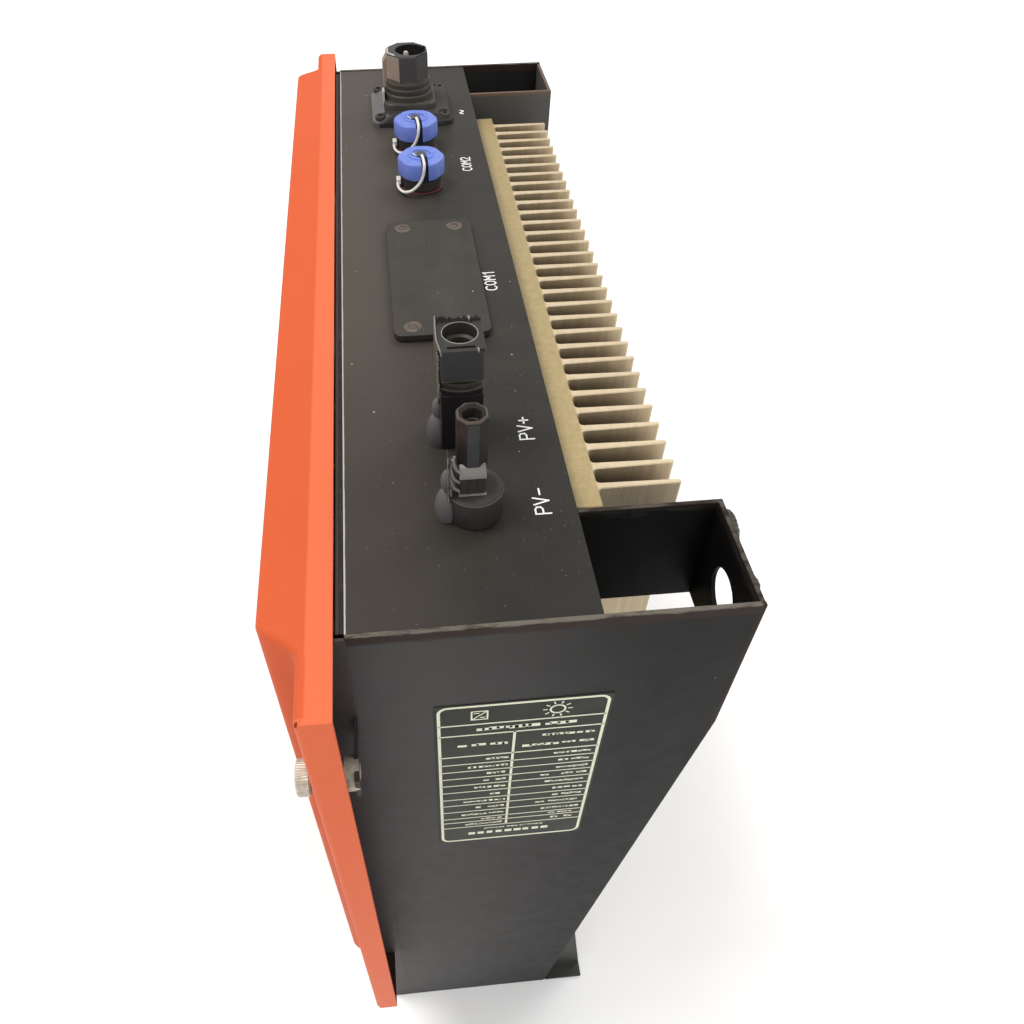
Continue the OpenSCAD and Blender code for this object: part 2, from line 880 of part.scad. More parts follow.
// ---- Inside the case ----

module power_board() {
    color("#1f6a3a") at_panel() block([-board_half_w, board_half_w], [board_y, board_y + board_t],
        [board_z[0], board_z[1]]);
}

module control_board() {
    color("#245f8a") at_panel() block([-control_half_w, control_half_w], [control_y, control_y + board_t],
        [control_z[0], control_z[1]]);
}

module board_standoffs() {
    board_mid = (board_z[0] + board_z[1]) / 2;
    color("#b9b09a") at_panel() both_sides() {
        for (z = [board_z[0] + 8, board_mid, board_z[1] - 8])
            rod_y(board_half_w - 8, z, 3, board_y + board_t, panel_d - sheet);
        for (z = [control_z[0] + 6, control_z[1] - 50])
            rod_y(control_half_w - 7, z, 2.5, control_y + board_t, board_y);
    }
}

module dc_link_capacitors() {
    pitch = 42;
    color("#2d3a66") at_panel() for (i = [0:4])
        rod_y(-150 + i * pitch, -355, 17.5, 8, board_y);
}

// A ring-shaped winding that stands on the power board
module winding(x, z, r, hole_r) {
    difference() {
        rod_y(x, z, r, winding_front, board_y);
        rod_y(x, z, hole_r, winding_front - eps, board_y + eps);
    }
}

module boost_inductors() {
    color("#8a5a2a") at_panel() for (x = [85, 150]) winding(x, -190, 28, 11);
}

module filter_inductors() {
    color("#8a5a2a") at_panel() for (z = [-180, -250]) winding(-145, z, 30, 12);
}

module grid_relays() {
    relay = [18, 18, 30];
    pitch = 22;
    color("#1b1b1b") at_panel() for (i = [0:3])
        translate([-180 + i * pitch, board_y - relay[1], -128]) cube(relay);
}

// Middle of one of the six power modules, numbered from 0
function module_x(i) = -100 + i * 40;

module power_modules() {
    color("#2a2a2c") at_panel() for (i = [0:5])
        block([module_x(i) - 12, module_x(i) + 12], [panel_d - module_t, panel_d], module_z);
}

module module_clamps() {
    clamp_t = 3;
    color("#a8a59c") at_panel() for (i = [0:5])
        block([module_x(i) - 6, module_x(i) + 6], [panel_d - module_t - clamp_t, panel_d - module_t],
            [module_z[0] - 5, module_z[1] + 6]);
}

// A lead that drops from a socket and turns back into the power board
module lead(x, y, r, z_top) {
    rod_z(x, y, r, lead_turn_z, z_top);
    translate([x, y, lead_turn_z]) sphere(r = r);
    rod_y(x, lead_turn_z, r, y, board_y);
}

module dc_wires() {
    color("#7d1e1e") at_panel() for (x = [pv_minus_x, pv_plus_x]) lead(x, pv_y, 2.6, -pv_neck_len);
}

module ac_wires() {
    color("#3a3a3a") at_panel() for (i = [-1:1]) lead(ac_x + i * 7, row_y, 2.2, -ac_neck_len);
}

// ---- Display ----

module display_housing() {
    color("#1d1d1f") at_panel() difference() {
        union() {
            block([display_x - display_w / 2, display_x + display_w / 2], [housing_front, lid_front],
                [display_z - display_h / 2, display_z + display_h / 2]);
            block([key_x - 8, key_x + 8], [housing_front + 2, lid_front], [display_z - 8, display_z + 8]);
            block([pipe_x - 5, pipe_x + 5], [housing_front + 2, lid_front],
                [display_z - 16, display_z + 16]);
        }
        block([display_x - display_w / 2 + 6, display_x + display_w / 2 - 6],
            [housing_front - eps, housing_floor],
            [display_z - display_h / 2 + 4, display_z + display_h / 2 - 4]);
        rod_y(key_x, display_z, key_stem_r + 0.4, housing_front, housing_floor);
        for (i = [-1:1]) rod_y(pipe_x, display_z + i * pipe_pitch, pipe_r, housing_front, housing_floor);
    }
}

module display_board() {
    color("#2c6b4c") at_panel() {
        block([display_x - 39, display_x + 39], [-12, -12 + board_t], [display_z - 18, display_z + 18]);
        block([display_x - 36, display_x + 36], [-19, -12], [display_z - 14, display_z + 14]);
    }
}

module display_window() {
    color("#aab4b0", 0.4) at_panel()
        block([display_x - lens_w / 2 + 0.2, display_x + lens_w / 2 - 0.2],
            [-cover_front + 0.2, -cover_front + cover_sheet],
            [display_z - lens_h / 2 + 0.2, display_z + lens_h / 2 - 0.2]);
}

module light_pipes() {
    color("#dfe8df") at_panel() for (i = [-1:1])
        rod_y(pipe_x, display_z + i * pipe_pitch, pipe_r, -cover_front + 1, housing_floor);
}

module display_key() {
    color("#c9c9c7") at_panel() {
        rod_y(key_x, display_z, key_r, key_front, key_back);
        rod_y(key_x, display_z, key_stem_r, key_back, housing_floor - 2);
    }
}

connector_panel();
back_plate();
lower_end_plate();
side_plate_right();
side_plate_left();
front_flanges();
lid_gasket();
front_lid();
lid_screws();
front_cover();
cover_hooks();
screw_lugs();
thumb_screw_right();
thumb_screw_left();
captive_washer_right();
captive_washer_left();
corner_channel_right();
corner_channel_left();
foot_bracket_right();
foot_bracket_left();
bracket_bolts();
heatsink();
heatsink_seal();
rating_label();
pv_minus_socket();
pv_plus_socket();
pv_contacts();
pv_lock_nuts();
data_socket_1();
data_socket_2();
data_seals();
data_cap_1();
data_cap_2();
cap_rivet_1();
cap_rivet_2();
cap_tether_1();
cap_tether_2();
service_plate();
service_seal();
service_screws();
serial_socket();
ac_socket();
ac_contacts();
ac_screws();
power_board();
control_board();
board_standoffs();
dc_link_capacitors();
boost_inductors();
filter_inductors();
grid_relays();
power_modules();
module_clamps();
dc_wires();
ac_wires();
display_housing();
display_board();
display_window();
light_pipes();
display_key();
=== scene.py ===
"""String inverter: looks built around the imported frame.

Helper functions take millimetres in the panel frame: y = 0 is the front edge of the case and z = 0 is
the connector panel's top face, as in the CAD source. Everything is stored in metres in the row frame.
"""

import json
import math
import random

import bmesh
import bpy
from mathutils import Matrix, Quaternion, Vector

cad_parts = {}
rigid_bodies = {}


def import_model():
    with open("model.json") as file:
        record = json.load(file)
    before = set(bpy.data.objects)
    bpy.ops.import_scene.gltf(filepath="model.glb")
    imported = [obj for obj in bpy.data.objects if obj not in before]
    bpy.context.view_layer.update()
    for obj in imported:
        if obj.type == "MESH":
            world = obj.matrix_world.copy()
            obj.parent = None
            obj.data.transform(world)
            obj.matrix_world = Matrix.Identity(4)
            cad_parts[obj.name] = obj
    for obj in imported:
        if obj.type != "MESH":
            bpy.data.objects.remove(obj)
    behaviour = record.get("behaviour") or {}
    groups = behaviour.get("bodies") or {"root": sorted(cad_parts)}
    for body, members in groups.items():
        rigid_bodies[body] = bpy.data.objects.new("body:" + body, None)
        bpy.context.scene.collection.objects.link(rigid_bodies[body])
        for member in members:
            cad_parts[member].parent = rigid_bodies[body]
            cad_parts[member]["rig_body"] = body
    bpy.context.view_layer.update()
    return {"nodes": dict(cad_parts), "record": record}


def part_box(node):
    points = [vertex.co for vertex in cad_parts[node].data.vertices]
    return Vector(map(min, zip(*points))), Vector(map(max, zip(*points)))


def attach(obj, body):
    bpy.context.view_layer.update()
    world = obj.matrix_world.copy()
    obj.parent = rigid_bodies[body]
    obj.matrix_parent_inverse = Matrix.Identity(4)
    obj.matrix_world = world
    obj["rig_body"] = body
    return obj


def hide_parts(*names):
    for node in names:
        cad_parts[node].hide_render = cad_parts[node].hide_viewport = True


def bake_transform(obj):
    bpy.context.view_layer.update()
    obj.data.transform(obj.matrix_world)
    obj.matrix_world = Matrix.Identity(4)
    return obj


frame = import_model()

MM = 0.001
PANEL_LO, PANEL_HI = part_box("connector_panel")
ORIGIN = Vector((0, PANEL_LO.y, PANEL_HI.z))


def at(x, y, z):
    """Row-frame point, in metres, of a panel-frame point in millimetres."""
    return ORIGIN + Vector((x, y, z)) * MM


def panel_box(node):
    """A CAD node's lowest and highest corners in panel-frame millimetres."""
    lo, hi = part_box(node)
    return (lo - ORIGIN) / MM, (hi - ORIGIN) / MM


def middle(node):
    """Middle of a CAD node in panel-frame millimetres."""
    lo, hi = panel_box(node)
    return (lo + hi) / 2


# ---------------------------------------------------------------- camera, lights and floor

CAMERA_AZIMUTH = 84.99
CAMERA_ELEVATION = 48.14
CAMERA_ROLL = -0.42
CAMERA_AT = (368.6, 21.0, 212.4)
CAMERA_LENS = 29.72
CAMERA_SHIFT = (0.0557, 0.0117)


def make_camera():
    a, e = math.radians(CAMERA_AZIMUTH), math.radians(CAMERA_ELEVATION)
    back = Vector((math.sin(a) * math.cos(e), -math.cos(a) * math.cos(e), math.sin(e)))
    data = bpy.data.cameras.new("camera")
    data.lens = CAMERA_LENS
    data.sensor_width = 36
    data.shift_x, data.shift_y = CAMERA_SHIFT
    data.clip_start = 0.01
    camera = bpy.data.objects.new("camera", data)
    camera.location = at(*CAMERA_AT)
    camera.rotation_mode = "QUATERNION"
    camera.rotation_quaternion = Quaternion(back, math.radians(CAMERA_ROLL)) @ (-back).to_track_quat("-Z",
            "Y")
    bpy.context.scene.collection.objects.link(camera)
    bpy.context.scene.camera = camera


def area_light(name, place, target, size, power, colour=(1, 1, 1)):
    data = bpy.data.lights.new(name, "AREA")
    data.shape = "DISK"
    data.size = size
    data.energy = power
    data.color = colour
    light = bpy.data.objects.new(name, data)
    light.location = place
    light.rotation_mode = "QUATERNION"
    light.rotation_quaternion = (Vector(target) - Vector(place)).to_track_quat("-Z", "Y")
    bpy.context.scene.collection.objects.link(light)


def make_studio():
    world = bpy.data.worlds.new("studio")
    bpy.context.scene.world = world
    world.use_nodes = True
    background = world.node_tree.nodes["Background"]
    background.inputs["Color"].default_value = (1.0, 0.985, 0.97, 1)
    background.inputs["Strength"].default_value = 0.72
    target = (0, 0, 0.3)
    area_light("key_light", (-0.1, -1.0, 2.7), target, 0.9, 40, (1.0, 0.98, 0.95))
    area_light("side_light", (2.2, 0.5, 1.5), target, 1.4, 9, (0.95, 0.98, 1.0))
    area_light("back_light", (-1.2, 1.5, 2.1), target, 1.2, 18)
    bpy.context.scene.view_settings.view_transform = "Standard"

    floor_mesh = bpy.data.meshes.new("floor")
    s = 12
    floor_mesh.from_pydata([(-s, -s, 0), (s, -s, 0), (s, s, 0), (-s, s, 0)], [], [(0, 1, 2, 3)])
    floor = bpy.data.objects.new("floor", floor_mesh)
    bpy.context.scene.collection.objects.link(floor)
    floor.data.materials.append(plain_floor())


# ---------------------------------------------------------------- materials


class Graph:
    """A short way to write one material's nodes. Coordinates are the object's own, in metres."""

    def __init__(self, name, colour, roughness, metallic=0.0, specular=0.5):
        self.material = bpy.data.materials.new(name)
        self.material.use_nodes = True
        self.tree = self.material.node_tree
        self.shader = self.tree.nodes["Principled BSDF"]
        for socket, value in (("Base Color", colour), ("Roughness", roughness), ("Metallic", metallic),
                              ("Specular IOR Level", specular)):
            self.feed(self.shader.inputs[socket], value)
        self.coords = self.node("TexCoord").outputs["Object"]

    def link(self, source, target):
        self.tree.links.new(source, target)

    def feed(self, socket, value):
        if hasattr(value, "links"):
            self.link(value, socket)
        elif isinstance(value, (tuple, list)) and len(value) == 3 and socket.type == "RGBA":
            socket.default_value = (*value, 1)
        else:
            socket.default_value = value

    def node(self, kind, inputs=(), **settings):
        """A new node with its settings, its inputs' values and its links."""
        node = self.tree.nodes.new("ShaderNode" + kind)
        for name, value in settings.items():
            setattr(node, name, value)
        for socket, value in dict(inputs).items():
            self.feed(node.inputs[socket], value)
        return node

    def math(self, operation, a, b=0.5, clamp=False):
        return self.node("Math", {0: a, 1: b}, operation=operation, use_clamp=clamp).outputs[0]

    def share(self, value, amount):
        return self.math("MULTIPLY", value, amount)

    def axis(self, index):
        return self.node("SeparateXYZ", {0: self.coords}).outputs[index]

    def scaled(self, factors):
        return self.node("Mapping", {"Scale": factors, "Vector": self.coords}).outputs[0]

    def noise(self, scale, detail=3.0, rough=0.55, vector=None, distortion=0.0):
        inputs = {"Scale": scale, "Detail": detail, "Roughness": rough, "Distortion": distortion,
                  "Vector": vector or self.coords}
        return self.node("TexNoise", inputs).outputs["Fac"]

    def ramp(self, value, low, high):
        """0 below low, 1 above high."""
        return self.node("MapRange", {"From Min": low, "From Max": high, "Value": value},
                         interpolation_type="SMOOTHSTEP").outputs["Result"]

    def mix(self, amount, a, b):
        return self.node("Mix", {"Factor": amount, 6: a, 7: b}, data_type="RGBA").outputs[2]

    def specks(self, scale, share, size):
        """Small spots: size is the spot's radius as a share of its cell, share how many cells have one."""
        cells = self.node("TexVoronoi", {"Scale": scale, "Vector": self.coords})
        chosen = self.node("SeparateColor", {0: cells.outputs["Color"]})
        picked = self.math("GREATER_THAN", chosen.outputs[0], 1 - share)
        spot = self.math("LESS_THAN", cells.outputs["Distance"], self.share(chosen.outputs[1], size))
        return self.share(picked, spot)

    def band(self, axis, value, width):
        """1 on the plane where the axis has that value, fading to 0 at width, in metres."""
        away = self.math("ABSOLUTE", self.math("SUBTRACT", self.axis(axis), value))
        return self.math("SUBTRACT", 1.0, self.math("DIVIDE", away, width), clamp=True)

    def upward(self):
        """1 on faces that look up."""
        normal = self.node("NewGeometry").outputs["Normal"]
        return self.ramp(self.node("SeparateXYZ", {0: normal}).outputs[2], 0.5, 0.95)

    def hollows(self, distance):
        """1 in corners and crevices, from ambient occlusion."""
        node = self.node("AmbientOcclusion", {"Distance": distance}, samples=4)
        return self.math("SUBTRACT", 1.0, node.outputs["AO"], clamp=True)

    def folds(self):
        """Above 0.5 on outward folds of the mesh, below it in inward ones."""
        return self.node("NewGeometry").outputs["Pointiness"]

    def colour(self, value):
        self.feed(self.shader.inputs["Base Color"], value)

    def roughness(self, low, pattern, spread):
        """Roughness from low upwards, by a pattern of 0 to 1."""
        self.feed(self.shader.inputs["Roughness"], self.math("ADD", low, self.share(pattern, spread)))

    def bump(self, height, strength, distance):
        node = self.node("Bump", {"Strength": strength, "Distance": distance, "Height": height})
        self.link(node.outputs[0], self.shader.inputs["Normal"])


def plain_floor():
    g = Graph("plain_floor", (0.93, 0.93, 0.93), 0.9, specular=0.1)
    g.shader.inputs["Emission Color"].default_value = (1, 1, 1, 1)
    g.shader.inputs["Emission Strength"].default_value = 0.12
    return g.material


DUST = (0.11, 0.10, 0.085)
SINK_BASE = 12.7
SINK_BASE_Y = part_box("heatsink")[0].y + SINK_BASE * MM


def black_coat(name, dark, light, dust, wear_and_highlight_bands=(), speck_share=0.12, fades=(), specular=0.25):
    """Textured black powder coat with dust, specks, fades of tone and paint worn to brown metal in bands.
    Some fades are painted light or shade, and a band can be a painted highlight as well as wear.
    """
    g = Graph(name, dark, 0.5, specular=specular)
    cloud = g.ramp(g.noise(7, 3, 0.5), 0.25, 0.8)
    body = g.mix(cloud, dark, light)
    film = g.share(g.upward(), g.ramp(g.noise(45, 5, 0.7), 0.2, 0.9))
    body = g.mix(g.share(film, dust), body, DUST)
    # Fades of tone along an axis: some are painted sheen or painted shade.
    for axis, low, high, colour, share in fades:
        body = g.mix(g.share(g.ramp(g.axis(axis), low, high), share), body, colour)
    spots = g.specks(260, speck_share, 0.13)
    body = g.mix(g.share(spots, 0.6), body, (0.42, 0.41, 0.39))
    fine_spots = g.specks(900, speck_share * 0.6, 0.22)
    body = g.mix(g.share(fine_spots, 0.45), body, (0.25, 0.24, 0.22))
    flecks = g.share(g.ramp(g.noise(210, 2, 0.5, None, 1.5), 0.78, 0.83), 0.35)
    body = g.mix(flecks, body, (0.16, 0.15, 0.135))
    # Bands along an edge: worn paint, and on the panel's front edge also a painted highlight.
    for axis, value, width, colour, low, stretch in wear_and_highlight_bands:
        ragged = g.noise(170, 6, 0.7, g.scaled(stretch))
        worn = g.ramp(g.share(g.band(axis, value, width), g.math("ADD", ragged, 0.35)), low, low + 0.22)
        body = g.mix(worn, body, colour)
    g.colour(body)
    g.roughness(0.42, g.noise(90, 4, 0.6), 0.2)
    g.bump(g.noise(1300, 3, 0.6), 0.22, 0.0002)
    return g.material


def orange_coat():
    """Fine-textured orange powder coat, with a painted highlight where the sheet is folded and painted shade
    in its corners and creases.
    """
    g = Graph("orange_powder_coat", (0.58, 0.104, 0.039), 0.5, specular=0.02)
    tone = g.mix(g.ramp(g.noise(9, 3, 0.5), 0.3, 0.75), (0.560, 0.099, 0.036), (0.600, 0.108, 0.041))
    grain = g.ramp(g.noise(750, 2, 0.5), 0.25, 0.8)
    tone = g.mix(g.share(grain, 0.07), tone, (0.70, 0.17, 0.08))
    # Painted highlight: paler orange on the outward folds of the sheet.
    tone = g.mix(g.share(g.ramp(g.folds(), 0.515, 0.57), 0.5), tone, (0.76, 0.19, 0.095))
    # Painted shade: darker orange in corners and creases, from ambient occlusion.
    crease_shade = g.share(g.hollows(0.006), 0.5)
    tone = g.mix(crease_shade, tone, (0.30, 0.05, 0.02))
    scuffs = g.specks(90, 0.05, 0.1)
    tone = g.mix(g.share(scuffs, 0.4), tone, (0.42, 0.09, 0.045))
    g.colour(tone)
    g.roughness(0.34, g.noise(45, 3, 0.5), 0.14)
    g.bump(g.noise(820, 2, 0.5), 0.18, 0.0003)
    return g.material


def anodised():
    g = Graph("champagne_anodised", (0.60, 0.48, 0.31), 0.42, metallic=0.35, specular=0.5)
    streaks = g.noise(420, 4, 0.7, g.scaled((1.0, 1.0, 0.02)))
    tone = g.mix(g.ramp(streaks, 0.3, 0.75), (0.56, 0.44, 0.27), (0.68, 0.56, 0.38))
    stain = g.ramp(g.noise(24, 4, 0.65), 0.52, 0.78)
    tone = g.mix(g.share(stain, 0.3), tone, (0.42, 0.30, 0.17))
    base = g.ramp(g.axis(1), SINK_BASE_Y + 0.0005, SINK_BASE_Y - 0.0005)
    tone = g.mix(base, tone, g.mix(g.ramp(streaks, 0.3, 0.75), (0.37, 0.285, 0.135), (0.45, 0.350, 0.180)))
    # Painted shade: dark brown in the gaps between the fins, from ambient occlusion.
    tone = g.mix(g.ramp(g.hollows(0.03), 0.3, 1.0), tone, (0.060, 0.040, 0.022))
    # Painted highlight: paler on the upward faces of the fin tips.
    tip_highlight = g.share(g.upward(), g.ramp(g.axis(1), SINK_BASE_Y, SINK_BASE_Y + 0.004))
    tone = g.mix(g.share(tip_highlight, 0.35), tone, (0.56, 0.48, 0.35))
    g.colour(tone)
    g.roughness(0.34, streaks, 0.25)
    g.bump(g.noise(600, 2, 0.5, g.scaled((1.0, 1.0, 0.03))), 0.15, 0.0002)
    return g.material


def moulded(name, colour, worn, rough=0.42, dust=0.25, specular=0.45):
    """Moulded plastic with a faint mould grain, dusty tops and paler worn patches."""
    g = Graph(name, colour, rough, specular=specular)
    patch = g.ramp(g.noise(130, 5, 0.65), 0.5, 0.82)
    tone = g.mix(g.share(patch, 0.35), colour, worn)
    film = g.share(g.upward(), g.ramp(g.noise(320, 4, 0.7), 0.35, 0.8))
    tone = g.mix(g.share(film, dust), tone, worn)
    g.colour(tone)
    g.roughness(rough - 0.08, g.noise(210, 4, 0.6), 0.22)
    g.bump(g.noise(1500, 2, 0.5), 0.08, 0.0001)
    return g.material


def metal(name, colour, dull, rough, metallic=0.9):
    """Metal with brushed grain and tarnish in patches."""
    g = Graph(name, colour, rough, metallic=metallic)
    tarnish = g.ramp(g.noise(260, 5, 0.65), 0.42, 0.75)
    tone = g.mix(tarnish, colour, dull)
    tone = g.mix(g.share(g.hollows(0.002), 0.7), tone, dull)
    g.colour(tone)
    g.roughness(rough - 0.1, g.noise(900, 3, 0.6), 0.25)
    g.bump(g.noise(1700, 2, 0.5), 0.1, 0.0001)
    return g.material


def ink(name, colour):
    """Screen-printed ink, thin in places."""
    g = Graph(name, colour, 0.55, specular=0.3)
    thin = g.ramp(g.noise(900, 3, 0.6), 0.62, 0.85)
    g.colour(g.mix(g.share(thin, 0.5), colour, tuple(c * 0.35 for c in colour)))
    g.bump(g.noise(1200, 2, 0.5), 0.05, 0.0001)
    return g.material


def label_film():
    g = Graph("label_film", (0.020, 0.021, 0.015), 0.5, specular=0.12)
    cloud = g.ramp(g.noise(40, 4, 0.6), 0.35, 0.75)
    g.colour(g.mix(cloud, (0.017, 0.018, 0.0125), (0.027, 0.028, 0.021)))
    g.roughness(0.32, g.noise(70, 3, 0.5), 0.2)
    g.bump(g.noise(500, 2, 0.5), 0.05, 0.0001)
    return g.material


def circuit_board(name, colour, track):
    """Solder mask with a faint grid of tracks."""
    g = Graph(name, colour, 0.35, specular=0.5)
    node = g.node("TexBrick", {"Scale": 160, "Mortar Size": 0.012, "Vector": g.scaled((1, 1, 1))})
    g.colour(g.mix(g.share(node.outputs["Fac"], 0.6), colour, track))
    g.bump(node.outputs["Fac"], 0.1, 0.0001)
    return g.material


def winding():
    g = Graph("copper_winding", (0.42, 0.17, 0.055), 0.3, specular=0.6)
    wave = g.node("TexWave", {"Scale": 220, "Vector": g.coords}, bands_direction="DIAGONAL")
    g.colour(g.mix(wave.outputs["Fac"], (0.22, 0.08, 0.03), (0.50, 0.21, 0.07)))
    g.bump(wave.outputs["Fac"], 0.4, 0.0005)
    return g.material


def clear(name, colour, rough):
    g = Graph(name, colour, rough, specular=0.5)
    g.shader.inputs["Transmission Weight"].default_value = 0.85
    g.shader.inputs["IOR"].default_value = 1.49
    haze = g.ramp(g.noise(200, 3, 0.6), 0.5, 0.8)
    g.colour(g.mix(g.share(haze, 0.2), colour, tuple(c * 0.8 for c in colour)))
    g.bump(g.noise(300, 2, 0.5), 0.03, 0.0001)
    return g.material


CASE_DARK, CASE_LIGHT = (0.0125, 0.0115, 0.0102), (0.019, 0.0172, 0.015)
WORN_BROWN, WORN_GREY = (0.030, 0.020, 0.015), (0.13, 0.118, 0.10)
ALONG_X, ALONG_Y, ALONG_Z = (0.3, 1.5, 1.5), (1.5, 0.3, 1.5), (0.35, 0.35, 1.6)
PANEL_TOP_Z = PANEL_HI.z
SIDE_TOP_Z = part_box("side_plate_right")[1].z
FRONT_Y = PANEL_LO.y
BACK_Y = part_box("side_plate_right")[1].y

